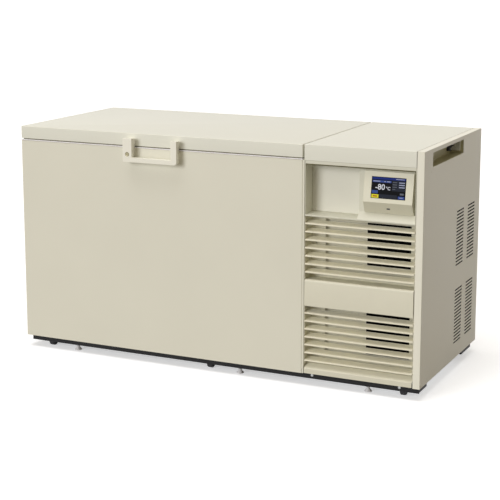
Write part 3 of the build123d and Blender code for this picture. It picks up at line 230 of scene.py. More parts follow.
@dataclass(frozen=True)
class BareMetal(Finish):
    """Steel or aluminium left bare: rolled, brushed or plated, so its gloss streaks."""

    grain: Grain = Grain.NONE
    line_mm: float = 1.2
    line_depth_mm: float = 0.01

    def detail(self, tree: Tree, shader: Node) -> None:
        """The real lines are about 0.1 mm apart; they are drawn at 1.2 mm so that they show."""
        set_inputs(shader, {"Metallic": 1.0})
        place = add_node(tree, "ShaderNodeTexCoord")
        turned = add_node(tree, "ShaderNodeMapping", {"Scale": self.grain.value},
                          {"Vector": place.outputs["Object"]})
        lines = add_node(tree, "ShaderNodeTexNoise", {"Scale": 1000 / self.line_mm, "Detail": 3.0},
                         {"Vector": turned.outputs["Vector"]})
        self.shaded(tree, shader, lines.outputs["Fac"], (0.9, 1.06))
        self.uneven_gloss(tree, shader, lines.outputs["Fac"], 0.08)
        self.bumped(tree, shader, lines.outputs["Fac"], self.line_depth_mm, 0.4)


@dataclass(frozen=True)
class Rubber(Finish):
    """Vulcanised or extruded rubber: matt, with a dusty bloom."""

    bloom_mm: float = 14.0

    def detail(self, tree: Tree, shader: Node) -> None:
        """A bloom of a centimetre or so, in the tone, the gloss and the skin."""
        bloom = self.toned(tree, shader, self.bloom_mm, 0.93, 1.05)
        self.uneven_gloss(tree, shader, bloom, 0.06)
        self.bumped(tree, shader, bloom, 0.05, 0.3)
        set_inputs(shader, {"IOR": 1.52})


@dataclass(frozen=True)
class RigidFoam(Finish):
    """Blown polyurethane: pale yellow, matt and full of closed cells."""

    cell_mm: float = 2.5

    def detail(self, tree: Tree, shader: Node) -> None:
        """The real cells are under 0.5 mm; they are drawn at 2.5 mm so that they show."""
        self.toned(tree, shader, 60.0, 0.94, 1.03)
        cells = self.pattern(tree, "ShaderNodeTexVoronoi", self.cell_mm)
        self.bumped(tree, shader, cells.outputs["Distance"], 0.3, 0.7)


@dataclass(frozen=True)
class CoverGlass(Finish):
    """Toughened glass with a black print behind it: deep black, with an etched, low gloss."""

    def detail(self, tree: Tree, shader: Node) -> None:
        """Fingertip haze, a few centimetres wide, is all that varies on it."""
        self.uneven_gloss(tree, shader, self.toned(tree, shader, 35.0, 0.9, 1.15), 0.05)
        set_inputs(shader, {"IOR": 1.45, "Specular IOR Level": 0.03})


@dataclass(frozen=True)
class LitPixels(Finish):
    """A field of the screen's picture: it glows, in rows of pixels."""

    strength: float = 0.8
    row_mm: float = 5.65487

    def detail(self, tree: Tree, shader: Node) -> None:
        """The real pixels are 0.24 mm; their rows are drawn 5.7 mm apart so that they show. A
        wave texture runs through twenty radians to the unit."""
        rows = self.pattern(tree, "ShaderNodeTexWave", self.row_mm * 20 / math.tau, bands_direction="Z")
        glow = add_node(tree, "ShaderNodeMapRange", {
            "To Min": self.strength * 0.9, "To Max": self.strength * 1.1}, {"Value": rows.outputs["Fac"]})
        tree.links.new(glow.outputs["Result"], shader.inputs["Emission Strength"])
        set_inputs(shader, {"Base Color": linear("#050608"), "Emission Color": linear(self.colour),
                            "Specular IOR Level": 0.05})


PAINT = PowderCoat("powder_coated_case_steel", "#E4E2D3", 0.42)
LID_PAINT = PowderCoat("powder_coated_lid_steel", "#E4E4D8", 0.4)
# A lighter copy of the case paint: painted light on the side panel's top and front flange.
FLANGE_PAINTED_LIGHT = PowderCoat("powder_coated_flange_steel", "#F0EEE0", 0.4)
SCREW_PAINT = PowderCoat("powder_coated_screw_heads", "#F3F1E6", 0.35)
BLACK_COAT = PowderCoat("black_powder_coated_rail_steel", "#0D0D0F", 0.5, coat=0.0, specular=0.2)
# Near-white matt coat on the levelling feet: painted reflection of their bright chrome.
FOOT_PAINTED_REFLECTION = PowderCoat("zinc_flake_coated_foot", "#F4F4F8", 0.3)
# Light grey matt coat on the caster yokes: painted sheen of their plated steel.
YOKE_PAINTED_SHEEN = PowderCoat("zinc_flake_coated_yoke", "#8E929C", 0.35)
MOTOR_STEEL = PowderCoat("black_painted_motor_can", "#1D1E20", 0.4)
COMPRESSOR_STEEL = PowderCoat("black_enamelled_compressor_can", "#17181A", 0.3)
GRILLE_PLASTIC = MouldedPlastic("moulded_abs_grille", "#DDDAC7", 0.45)
# A lighter copy of the grille's plastic on the louvres: painted light on blades that sit in each other's
# shade.
LOUVRE_PAINTED_LIGHT = MouldedPlastic("moulded_abs_louvre", "#F1EDD8", 0.45)
# The control moulding, darker than the bay's cover: painted shade on the fascia round the display housing.
PANEL_PAINTED_SHADE = MouldedPlastic("moulded_abs_control_panel", "#D8D7C7", 0.45)
# A lighter copy of the control moulding's plastic on the recorder bay's cover: painted light against the
# shade of the deep bay.
COVER_PAINTED_LIGHT = MouldedPlastic("moulded_abs_bay_cover", "#E3E2D6", 0.45)
HANDLE_PLASTIC = MouldedPlastic("moulded_abs_handle", "#F4F2E6", 0.38)
HOUSING_PLASTIC = MouldedPlastic("moulded_abs_display_housing", "#D6D3BD", 0.42)
# The side recess's tray in an olive darker than the case paint: painted shade in the recess.
TRAY_PAINTED_SHADE = MouldedPlastic("moulded_abs_recess_tray", "#B4AF8B", 0.5)
INNER_LID_PLASTIC = MouldedPlastic("vacuum_formed_abs_inner_lid", "#ECEBE6", 0.35)
THROAT_PVC = MouldedPlastic("extruded_pvc_throat_frame", "#E9E8E2", 0.4)
TERMINAL_PLASTIC = MouldedPlastic("moulded_grey_terminal_block", "#E6E9E4", 0.5)
BLACK_PLASTIC = MouldedPlastic("moulded_black_nylon", "#121214", 0.45)
# Black: the real intake filters, and also the painted shade that fills the side and rear vents.
FILTER_MESH_AND_VENT_SHADE = MouldedPlastic("black_woven_filter_mesh", "#070707", 0.8, specular=0.03)
WHITE_MARK = MouldedPlastic("white_printed_mark", "#E9E9E4", 0.5)
ZINC = BareMetal("zinc_plated_steel", "#A3A4A3", 0.48)
STAINLESS = BareMetal("brushed_stainless_liner_sheet", "#C3C4C4", 0.34, Grain.ALONG_X)
ALUMINIUM = BareMetal("aluminium_fin_stock", "#C9CACC", 0.4)
GALVANISED = BareMetal("galvanised_sheet", "#A9ACAE", 0.45)
LOCK_STEEL = BareMetal("nickel_plated_lock", "#8C866E", 0.3)
GASKET = Rubber("extruded_vinyl_gasket", "#FBF8FC", 0.5)
# Dark olive on the white gasket's neck: painted shade in the gap under the lid.
GASKET_NECK_PAINTED_SHADE = Rubber("extruded_vinyl_gasket_neck", "#4F4A1E", 0.7)
# Dark olive strips where there is only a gap: painted shade in the deck seam and round the control recess.
PAINTED_SHADE_STRIP = Rubber("extruded_olive_edge_seal", "#4C4724", 0.7)
TREAD = Rubber("black_rubber_tread", "#1B1B1D", 0.65)
FOAM = RigidFoam("blown_polyurethane_foam", "#E6D9A8", 0.85)
GLASS = CoverGlass("etched_cover_glass", "#06070A", 0.32)


# Meshes and pieces


def linked(name: str, data: bpy.types.ID) -> Piece:
    """Put data into the scene, as an object."""
    made = bpy.data.objects.new(name, data)
    bpy.context.scene.collection.objects.link(made)
    return made


def smoothed(mesh: bpy.types.Mesh, angle: float) -> None:
    """Shade a mesh smooth, but for edges sharper than an angle in degrees."""
    mesh.shade_smooth()
    mesh.set_sharp_from_angle(angle=math.radians(angle))


def evaluated_mesh(piece: Piece) -> bpy.types.Mesh:
    """The plain mesh that an object has with its modifiers."""
    bpy.context.view_layer.update()
    seen = piece.evaluated_get(bpy.context.evaluated_depsgraph_get())
    mesh = bpy.data.meshes.new_from_object(seen)
    mesh.name = piece.name
    return mesh


class Axis(Enum):
    """The axis that a bar or an outline is drawn along."""

    X = 0
    Y = 1
    Z = 2


class Shape:
    """A mesh in the making, in the case's millimetres."""

    def __init__(self) -> None:
        """Start with nothing."""
        self.form = bmesh.new()

    def block(self, x: Span, y: Span, z: Span) -> "Shape":
        """Add a box between two values along each axis."""
        return self.prism([(x[0], y[0]), (x[1], y[0]), (x[1], y[1]), (x[0], y[1])], z, Axis.Z)

    def prism(self, outline: Outline, span: Span, axis: Axis) -> "Shape":
        """Add a closed outline drawn out along an axis.

        Args:
            outline: Points over the two other axes, in their order.
            span: Where the ends lie.
            axis: The axis it is drawn along.

        Returns:
            The shape itself.
        """
        rings = []
        for along in span:
            places = [list(place) for place in outline]
            for place in places:
                place.insert(axis.value, along)
            rings.append([self.form.verts.new(place) for place in places])
        for number in range(len(outline)):
            after = (number + 1) % len(outline)
            self.form.faces.new([rings[0][number], rings[0][after], rings[1][after], rings[1][number]])
        for ring in rings:
            self.form.faces.new(ring)
        return self

    def turned(self, profile: Outline, centre: Sequence[float], axis: Axis, steps: int = 32) -> "Shape":
        """Add a profile of (radius, distance) points turned round an axis.

        Args:
            profile: Points from one end to the other; the ends may lie on the axis.
            centre: A place on the axis, from which distances count.
            axis: The axis.
            steps: How many facets go round.

        Returns:
            The shape itself.
        """
        order = {Axis.X: (1, 2, 0), Axis.Y: (2, 0, 1), Axis.Z: (0, 1, 2)}[axis]
        rings = []
        for radius, distance in profile:
            ring = []
            for step in range(1 if radius == 0 else steps):
                angle = 2 * math.pi * step / steps
                place = [0.0, 0.0, 0.0]
                place[order[0]] = centre[order[0]] + radius * math.cos(angle)
                place[order[1]] = centre[order[1]] + radius * math.sin(angle)
                place[order[2]] = centre[order[2]] + distance
                ring.append(self.form.verts.new(place))
            rings.append(ring)
        for low, high in zip(rings, rings[1:]):
            for step in range(steps):
                corners = [low[step % len(low)], low[(step + 1) % len(low)],
                           high[(step + 1) % len(high)], high[step % len(high)]]
                self.form.faces.new(list(dict.fromkeys(corners)))
        for end in (rings[0], rings[-1]):
            if len(end) > 1:
                self.form.faces.new(end)
        return self

    def piece(self, name: str, finish: Finish, bevel_mm: float = 0.0, segments: int = 2,
              angle: float = 30.0) -> Piece:
        """Finish the mesh as an object; the arguments are those of finished."""
        for vertex in self.form.verts:
            vertex.co = spot(*vertex.co)
        bmesh.ops.remove_doubles(self.form, verts=self.form.verts, dist=1e-6)
        bmesh.ops.recalc_face_normals(self.form, faces=self.form.faces)
        return finished(self.form, name, finish, bevel_mm, segments, angle)


def finished(form: bmesh.types.BMesh, name: str, finish: Finish, bevel_mm: float, segments: int,
             angle: float) -> Piece:
    """Turn a form, in metres, into an object.

    Args:
        form: The form, which is used up.
        name: The piece's name.
        finish: Its finish.
        bevel_mm: The width of its rounded edges, or nought for none.
        segments: How many facets a rounded edge has.
        angle: The least angle, in degrees, of an edge that is rounded.

    Returns:
        The object, with its place in its mesh.
    """
    mesh = bpy.data.meshes.new(name)
    form.to_mesh(mesh)
    form.free()
    mesh.materials.append(finish.material())
    smoothed(mesh, angle)
    piece = linked(name, mesh)
    if bevel_mm:
        rounded = piece.modifiers.new("rounded_edges", "BEVEL")
        rounded.width = bevel_mm / 1000
        rounded.segments = segments
        rounded.limit_method = "ANGLE"
        rounded.angle_limit = math.radians(angle)
        rounded.harden_normals = True
        rounded.miter_outer = "MITER_ARC"
    return piece


def copied(node: str, name: str, finish: Finish, bevel_mm: float, segments: int = 2,
           angle: float = 30.0, pierced: bool = False) -> Piece:
    """Copy a node of the frame as a clean mesh with rounded edges.

    Args:
        node: The node's name.
        name: The new piece's name.
        finish: Its finish.
        bevel_mm: The width of its rounded edges.
        segments: How many facets a rounded edge has.
        angle: The least angle, in degrees, of an edge that is rounded.
        pierced: Whether its flat faces have holes, so that they can't be one polygon each.

    Returns:
        The new piece.
    """
    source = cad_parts[node].data
    form = bmesh.new()
    corners = [form.verts.new(vertex.co) for vertex in source.vertices]
    for face in source.polygons:
        form.faces.new([corners[index] for index in face.vertices])
    bmesh.ops.remove_doubles(form, verts=form.verts, dist=2e-6)
    flat = math.radians(0.5)
    if pierced:
        bmesh.ops.join_triangles(form, faces=form.faces, angle_face_threshold=flat,
                                 angle_shape_threshold=math.pi)
    else:
        bmesh.ops.dissolve_limit(form, angle_limit=flat, verts=form.verts, edges=form.edges)
    return finished(form, name, finish, bevel_mm, segments, angle)


def place(piece: Piece, body: str, slot: str, *nodes: str) -> Piece:
    """Let a piece ride on a body, in place of the nodes that it stands for."""
    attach(piece, body)
    if nodes:
        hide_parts(*nodes)
    LOG.info("%s rides on %s", piece.name, body)
    return piece


def dress(node: str, name: str, finish: Finish, body: str, slot: str, bevel_mm: float,
          segments: int = 2, angle: float = 30.0, pierced: bool = False) -> None:
    """Let a copy of a node stand in its place; the arguments are those of copied and place."""
    place(copied(node, name, finish, bevel_mm, segments, angle, pierced), body, slot, node)


def repaint(node: str, finish: Finish) -> None:
    """Give a node of the frame that stays as it is a finish of the scene's own."""
    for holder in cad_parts[node].material_slots:
        holder.material = finish.material()
    LOG.info("%s keeps its shape, in %s", node, finish.name)


# Repeats, made by Geometry Nodes


def new_tree(name: str, sockets: dict[str, str]) -> tuple[Tree, Node, Node]:
    """Start a Geometry Nodes tree that takes geometry, some values and a material.

    Args:
        name: The tree's name.
        sockets: The values' types by name.

    Returns:
        The tree, its group input node and its group output node.
    """
    tree = bpy.data.node_groups.new(name, "GeometryNodeTree")
    for label, kind in ({"Geometry": "Geometry"} | sockets | {"Material": "Material"}).items():
        tree.interface.new_socket(label, in_out="INPUT", socket_type=f"NodeSocket{kind}")
    tree.interface.new_socket("Geometry", in_out="OUTPUT", socket_type="NodeSocketGeometry")
    return tree, add_node(tree, "NodeGroupInput"), add_node(tree, "NodeGroupOutput")


def close_tree(tree: Tree, start: Node, end: Node, instances: Socket) -> Tree:
    """Make a tree's instances real, in its material, and hand them out."""
    real = add_node(tree, "GeometryNodeRealizeInstances", links={"Geometry": instances})
    dressed = add_node(tree, "GeometryNodeSetMaterial", links={
        "Geometry": real.outputs["Geometry"], "Material": start.outputs["Material"]})
    tree.links.new(dressed.outputs["Geometry"], end.inputs["Geometry"])
    return tree


def rows_tree() -> Tree:
    """A tree that repeats a piece in rows and in groups of rows."""
    tree, start, end = new_tree("rows_of_a_piece", {
        "Rows": "Int", "Row step": "Vector", "Groups": "Int", "Group step": "Vector"})
    repeated = start.outputs["Geometry"]
    for count, step in (("Rows", "Row step"), ("Groups", "Group step")):
        line = add_node(tree, "GeometryNodeMeshLine", links={
            "Count": start.outputs[count], "Offset": start.outputs[step]})
        copies = add_node(tree, "GeometryNodeInstanceOnPoints", links={
            "Points": line.outputs["Mesh"], "Instance": repeated})
        repeated = copies.outputs["Instances"]
    return close_tree(tree, start, end, repeated)


def scatter_tree() -> Tree:
    """A tree that sets a part on points, facing the way that each point says."""
    known = bpy.data.node_groups.get("pieces_on_points")
    if known:
        return known
    tree, start, end = new_tree("pieces_on_points", {"Part": "Object", "Turn seed": "Int"})
    part = add_node(tree, "GeometryNodeObjectInfo", links={"Object": start.outputs["Part"]})
    facing = add_node(tree, "GeometryNodeInputNamedAttribute", {"Name": "facing"},
                      data_type="FLOAT_VECTOR")
    aligned = add_node(tree, "FunctionNodeAlignRotationToVector",
                       links={"Vector": facing.outputs["Attribute"]}, axis="Z")
    turn = add_node(tree, "FunctionNodeRandomValue", {"Min": 0.0, "Max": math.pi},
                    {"Seed": start.outputs["Turn seed"]}, data_type="FLOAT")
    spin = add_node(tree, "FunctionNodeAxisAngleToRotation", {"Axis": (0.0, 0.0, 1.0)},
                    {"Angle": turn.outputs["Value"]})
    both = add_node(tree, "FunctionNodeRotateRotation", links={
        "Rotation": aligned.outputs["Rotation"], "Rotate By": spin.outputs["Rotation"]},
        rotation_space="LOCAL")
    set_on = add_node(tree, "GeometryNodeInstanceOnPoints", links={
        "Points": start.outputs["Geometry"], "Instance": part.outputs["Geometry"],
        "Rotation": both.outputs["Rotation"]})
    return close_tree(tree, start, end, set_on.outputs["Instances"])


def grown_by(piece: Piece, tree: Tree, inputs: dict) -> Piece:
    """Run a Geometry Nodes tree on a piece and keep the result as its plain mesh.

    Args:
        piece: The piece; its other modifiers run first.
        tree: The tree.
        inputs: Its input values by name.

    Returns:
        The same piece, with a plain mesh and no modifier.
    """
    modifier = piece.modifiers.new("repeat", "NODES")
    modifier.node_group = tree
    for item in tree.interface.items_tree:
        if item.in_out == "INPUT" and item.name in inputs:
            modifier[item.identifier] = inputs[item.name]
    mesh = evaluated_mesh(piece)
    piece.modifiers.clear()
    piece.data = mesh
    return piece


class Facing(Enum):
    """The ways that a screw's head can face."""

    FRONT = (0.0, -1.0, 0.0)
    RIGHT = (1.0, 0.0, 0.0)


@dataclass
class Screws:
    """Cross-head screws, set on points of one body and turned by chance."""

    radius: float
    height: float
    washer: float = 0.0
    washer_height: float = 0.8
    slot_width: float = 0.9
    steps: int = 20
    seed: int = 3

    def head(self) -> Piece:
        """One head, facing up at the frame's origin."""
        form = bmesh.new()
        washer = [(self.washer, 0.0), (self.washer, self.washer_height)] if self.washer else []
        dome = [(self.radius, self.washer_height if washer else 0.0), (self.radius, self.height * 0.45),
                (self.radius * 0.82, self.height * 0.85), (self.radius * 0.55, self.height)]
        angles = [2 * math.pi * step / self.steps for step in range(self.steps)]
        rings = []
        for radius, lift in washer + dome:
            rings.append([form.verts.new((radius / 1000 * math.cos(angle), radius / 1000 * math.sin(angle),
                                          lift / 1000)) for angle in angles])
        for low, high in zip(rings, rings[1:]):
            for step in range(self.steps):
                after = (step + 1) % self.steps
                form.faces.new([low[step], low[after], high[after], high[step]])
        form.faces.new(list(reversed(rings[0])))
        self._cross(form, rings[-1])
        mesh = bpy.data.meshes.new("screw_head")
        form.to_mesh(mesh)
        form.free()
        smoothed(mesh, 35)
        return linked("screw_head", mesh)

    def _cross(self, form: bmesh.types.BMesh, rim: list) -> None:
        """Close the top with a face and sink a cross into it."""
        reach, half, sunk = self.radius * 0.45, self.slot_width / 2, self.height * 0.45
        plan = [(half, half), (half, reach), (-half, reach), (-half, half), (-reach, half),
                (-reach, -half), (-half, -half), (-half, -reach), (half, -reach), (half, -half),
                (reach, -half), (reach, half)]
        upper, lower = [[form.verts.new((x / 1000, y / 1000, height / 1000)) for x, y in plan]
                        for height in (self.height, self.height - sunk)]
        for number in range(len(plan)):
            after = (number + 1) % len(plan)
            form.faces.new([upper[number], upper[after], lower[after], lower[number]])
        form.faces.new(lower)
        bmesh.ops.bridge_loops(form, edges=[
            form.edges.get([ring[n], ring[(n + 1) % len(ring)]]) for ring in (rim, upper)
            for n in range(len(ring))])
        bmesh.ops.recalc_face_normals(form, faces=form.faces)

    def on(self, name: str, finish: Finish, facing: Facing, points: Sequence[Vector]) -> Piece:
        """Set heads on points.

        Args:
            name: The piece's name.
            finish: Its finish.
            facing: The way that the heads face.
            points: Their places, in the frame's metres.

        Returns:
            The screws, as one plain mesh.
        """
        head = self.head()
        mesh = bpy.data.meshes.new(name)
        mesh.from_pydata([tuple(point) for point in points], [], [])
        for way in mesh.attributes.new("facing", "FLOAT_VECTOR", "POINT").data:
            way.vector = facing.value
        piece = grown_by(linked(name, mesh), scatter_tree(), {
            "Part": head, "Turn seed": self.seed, "Material": finish.material()})
        bpy.data.objects.remove(head)
        return piece


# The chest and its lid


@dataclass
class ChestBody:
    """The insulated chest: its painted skin, its throat, its chamber and its inner lids."""

    skin_edge: float = 1.6
    inner_lid_edge: float = 5.0

    def build(self) -> None:
        """Make and place the chest's pieces."""
        dress("outer_case", "chest_skin", PAINT, "cabinet", "cabinet_paint", self.skin_edge, 3)
        dress("throat_frame", "throat_trim", THROAT_PVC, "cabinet", "throat_plastic", 1.5, 3)
        dress("inner_liner", "chamber_liner", STAINLESS, "cabinet", "liner_steel", 0.5)
        repaint("insulation", FOAM)
        for node in ("inner_lid_left", "inner_lid_right"):
            dress(node, f"insulating_{node}", INNER_LID_PLASTIC, node, "throat_plastic",
                  self.inner_lid_edge, 4)


@dataclass
class ChestLid:
    """The lid: a painted pan, its gasket, its plug and its hinges."""

    gasket_reach: float = 29.0
    least_inset: float = 0.6

    def build(self) -> None:
        """Make and place the lid's pieces."""
        dress("lid_shell", "lid_pan_painted", LID_PAINT, "lid", "lid_paint", 1.0, angle=40.0)
        place(self.gasket(), "lid", "seal_rubber", "lid_gasket")
        place(self.neck(), "lid", "seal_rubber", "lid_gasket")
        dress("lid_pan", "lid_inner_pan", THROAT_PVC, "lid", "throat_plastic", 1.0, 3, pierced=True)
        repaint("lid_foam", FOAM)
        dress("cabinet_hinges", "hinge_halves_on_the_case", ZINC, "cabinet", "zinc_steel", 0.8)
        dress("lid_hinge_leaves", "hinge_halves_on_the_lid", ZINC, "lid", "zinc_steel", 0.8)

    def gasket(self) -> Piece:
        """The seal's soft foot, which stands on the body and bulges out in front."""
        low = BODY_TOP + 0.3
        profile = [(0.7, low), (-1.6, low + 1.4), (-1.3, low + 3.0), (4.6, low + 5.0),
                   (self.gasket_reach, low + 5.2), (self.gasket_reach, low)]
        return self.ring("lid_seal", GASKET, profile)

    def neck(self) -> Piece:
        """The seal's neck, which fills the lid's groove behind the foot; it is painted dark olive as the
        shade in the gap under the lid.
        """
        low, high = BODY_TOP + 4.9, LID_BOTTOM
        profile = [(9.0, low), (9.0, high), (self.gasket_reach, high), (self.gasket_reach, low)]
        return self.ring("lid_seal_neck", GASKET_NECK_PAINTED_SHADE, profile)

    def ring(self, name: str, finish: Finish, profile: Outline) -> Piece:
        """Draw a profile of insets and heights round the lid; only the front may bulge."""
        shape = Shape()
        rings = []
        for reach, height in profile:
            side = max(reach, self.least_inset)
            corners = [(side, reach), (CHEST_WIDTH - side, reach),
                       (CHEST_WIDTH - side, CASE_DEPTH - side), (side, CASE_DEPTH - side)]
            rings.append([shape.form.verts.new((x, y, height)) for x, y in corners])
        for ring, after in zip(rings, rings[1:] + rings[:1]):
            for corner in range(4):
                beyond = (corner + 1) % 4
                shape.form.faces.new([ring[corner], ring[beyond], after[beyond], after[corner]])
        return shape.piece(name, finish, 0.6, 2, 20.0)


@dataclass
class Latch:
    """The U-shaped latch handle on its two brackets, with its lock."""

    bar_bottom: float = 889.0
    bar_middle: float = 905.0
    bar_raise: float = 7.0
    drawn_corner: float = 9.0
    corners: tuple[tuple[float, float], ...] = ((580.0, 5.0), (856.0, 14.0))
    lock_x: float = 603.0
    lock_z: float = 931.5
    lock_radius: float = 10.5
    face_y: float = -42.0

    def build(self) -> None:
        """Make and place the latch's pieces."""
        handle = copied("latch_handle", "lid_latch_handle", HANDLE_PLASTIC, 2.2, 3)
        self.round_corners(handle)
        place(handle, "handle", "cream_plastic", "latch_handle")
        dress("latch_brackets", "latch_pivot_brackets", HANDLE_PLASTIC, "lid", "cream_plastic", 1.2)
        place(self.lock(), "key", "lock_metal", "key_cylinder")

    def round_corners(self, handle: Piece) -> None:
        """Give each lower corner its own radius and thin the bar, as in the photograph."""
        reach = self.drawn_corner / 1000 + 1e-5
        for x, radius in self.corners:
            corner = spot(x, 0.0, self.bar_bottom)
            grow = radius / self.drawn_corner
            for vertex in handle.data.vertices:
                across, up = vertex.co.x - corner.x, vertex.co.z - corner.z
                if abs(across) < reach and up < reach:
                    vertex.co.x = corner.x + across * grow
                    vertex.co.z = corner.z + up * grow
        for vertex in handle.data.vertices:
            if vertex.co.z < spot(0.0, 0.0, self.bar_middle).z:
                vertex.co.z += self.bar_raise / 1000

    def lock(self) -> Piece:
        """The key cylinder: a ring, a sunk face and its key slot, with the tongue behind."""
        x, z, radius = self.lock_x, self.lock_z, self.lock_radius
        shape = Shape()
        shape.turned([(0, 0.6), (radius * 0.55, 0.6), (radius * 0.62, -0.7), (radius * 0.85, -1.4),
                      (radius, -0.6), (radius, 14.0), (0, 14.0)], (x, self.face_y, z), Axis.Y, 40)
        shape.block((x - 2.5, x + 2.5), (-28.0, -20.0), (z - 11, z + 11))
        shape.block((x - 0.9, x + 0.9), (-41.6, -40.9), (z - 4.2, z + 4.2))
        return shape.piece("latch_lock_cylinder", LOCK_STEEL)


# The machine compartment


@dataclass
class MachineShell:
    """The painted sheets round the machine compartment, the recess in its side and its back."""

    seam_edge: float = 1.3
    deck_seam: float = 1967.7
    seam_opening: float = 2.2
    sink_depth: float = 1.9
    slot_bottoms: tuple[float, ...] = (77.0, 441.0)
    slot_pitch: float = 15.4
    slot_rows: int = 17
    slot_width: float = 5.5
    slot_growth: float = 0.8
    slots_y: Span = (480.0, 770.0)
    side_shade_x: Span = (1995.6, 1998.9)
    side_shade_y: Span = (478.0, 773.0)
    side_shades_z: tuple[Span, ...] = ((70.0, 333.0), (434.0, 697.0))
    rear_shades_x: tuple[Span, ...] = ((1503.0, 1697.0), (1763.0, 1957.0))
    rear_shade_y: Span = (841.4, 842.4)
    rear_shade_z: Span = (108.0, 410.0)
    side_screws: tuple[tuple[float, float], ...] = ((95.0, 925.0), (826.0, 923.0))
    marks_x: Span = (1955.4, 1955.8)
    marks_y: Span = (513.6, 516.8)
    marks_z: tuple[Span, ...] = ((964.0, 969.0), (977.0, 984.0), (991.0, 997.0))

    def build(self) -> None:
        """Make and place the sheets."""
        deck = copied("machine_deck", "machine_top_cover", LID_PAINT, self.seam_edge, 3)
        for vertex in deck.data.vertices:
            if vertex.co.x > spot(self.deck_seam - 1, 0, 0).x:
                vertex.co.x = spot(self.deck_seam - self.seam_opening, 0, 0).x
        place(deck, "cabinet", "cabinet_paint", "machine_deck")
        dress("front_post", "front_upright", PAINT, "cabinet", "cabinet_paint", self.seam_edge)
        side = copied("side_panel", "machine_side_panel", PAINT, 0.25, pierced=True)
        self.countersink(side)
        self.widen_slots(side)
        self.paint_light_on_flanges(side)
        place(side, "cabinet", "cabinet_paint", "side_panel")
        dress("recess_tray", "side_recess_tray", TRAY_PAINTED_SHADE, "cabinet", "cabinet_paint", 0.6)
        dress("rear_panel", "machine_rear_panel", PAINT, "cabinet", "cabinet_paint", 0.5, pierced=True)
        place(self.meshes(), "cabinet", "black_plastic")
        place(self.deck_seam_shade(), "cabinet", "black_plastic")
        screws = Screws(4.2, 1.8).on("side_panel_screws", SCREW_PAINT, Facing.RIGHT, [
            spot(CASE_WIDTH - self.sink_depth, y, z) for y, z in self.side_screws])
        place(screws, "cabinet", "zinc_steel")
        dress("breaker_body", "power_breaker", BLACK_PLASTIC, "cabinet", "black_plastic", 0.6)
        dress("breaker_toggle", "power_breaker_toggle", BLACK_PLASTIC, "toggle", "black_plastic", 0.5)
        place(self.marks(), "cabinet", "cream_plastic")
        dress("terminal_strip", "alarm_terminals", TERMINAL_PLASTIC, "cabinet", "cream_plastic", 0.5)
        dress("cord_gland", "supply_cord_gland", BLACK_PLASTIC, "cabinet", "black_plastic", 0.8, 3)
        dress("rear_spacers", "wall_spacers", BLACK_PLASTIC, "cabinet", "black_plastic", 1.0, 3)

    def countersink(self, panel: Piece) -> None:
        """Cut the holes that the side panel's screws sit in."""
        shape = Shape()
        for y, z in self.side_screws:
            shape.turned([(0, -4.0), (4.3, -4.0), (4.3, -0.6), (6.0, 1.0), (0, 1.0)],
                         (CASE_WIDTH, y, z), Axis.X, 24)
        cutter = shape.piece("screw_holes", PAINT)
        rounding = panel.modifiers["rounded_edges"]
        rounding.show_viewport = False
        cut = panel.modifiers.new("holes", "BOOLEAN")
        cut.operation = "DIFFERENCE"
        cut.object = cutter
        mesh = evaluated_mesh(panel)
        smoothed(mesh, 30)
        panel.modifiers.remove(cut)
        panel.data = mesh
        rounding.show_viewport = True
        bpy.data.objects.remove(cutter)

    def widen_slots(self, panel: Piece) -> None:
        """Open the side's slots to the width that they have in the photograph."""
        inner = spot(CASE_WIDTH - 3, self.slots_y[0], 0)
        outer = spot(CASE_WIDTH + 1, self.slots_y[1], 0)
        for vertex in panel.data.vertices:
            x, y, z = vertex.co
            if not (inner.x < x < outer.x and inner.y < y < outer.y):
                continue
            height = z * 1000 - CASE_LIFT
            for bottom in self.slot_bottoms:
                row = round((height - bottom) / self.slot_pitch)
                off = height - bottom - row * self.slot_pitch
                if 0 <= row < self.slot_rows and abs(abs(off) - self.slot_width / 2) < 0.6:
                    vertex.co.z += math.copysign(self.slot_growth / 1000, off)

    def paint_light_on_flanges(self, panel: Piece) -> None:
        """Paint light on the outer faces of the top and the front flange, with a lighter copy of the case
        paint.
        """
        panel.data.materials.append(FLANGE_PAINTED_LIGHT.material())
        top, front = spot(0, 0, CASE_HEIGHT - 1).z, spot(0, 1, 0).y
        for face in panel.data.polygons:
            upward = face.normal.z > 0.9 and face.center.z > top
            forward = face.normal.y < -0.9 and face.center.y < front
            if upward or forward:
                face.material_index = 1

    def meshes(self) -> Piece:
        """Black blocks in and just behind the vents of the side and of the back: painted shade inside the
        vents.
        """
        shape = Shape()
        for span in self.side_shades_z:
            shape.block(self.side_shade_x, self.side_shade_y, span)
        for span in self.rear_shades_x:
            shape.block(span, self.rear_shade_y, self.rear_shade_z)
        return shape.piece("vent_meshes", FILTER_MESH_AND_VENT_SHADE)

    def deck_seam_shade(self) -> Piece:
        """A dark olive strip in the seam between the deck and the side panel: painted shade in the seam."""
        shape = Shape().block((self.deck_seam - 3.6, self.deck_seam + 0.8), (2.0, CASE_DEPTH - 2.0),
                              (CASE_HEIGHT - 3.0, CASE_HEIGHT - 1.0))
        return shape.piece("deck_seam_seal", PAINTED_SHADE_STRIP)

    def marks(self) -> Piece:
        """The white marks beside the breaker's toggle."""
        shape = Shape()
        for span in self.marks_z:
            shape.block(self.marks_x, self.marks_y, span)
        return shape.piece("breaker_marks", WHITE_MARK)


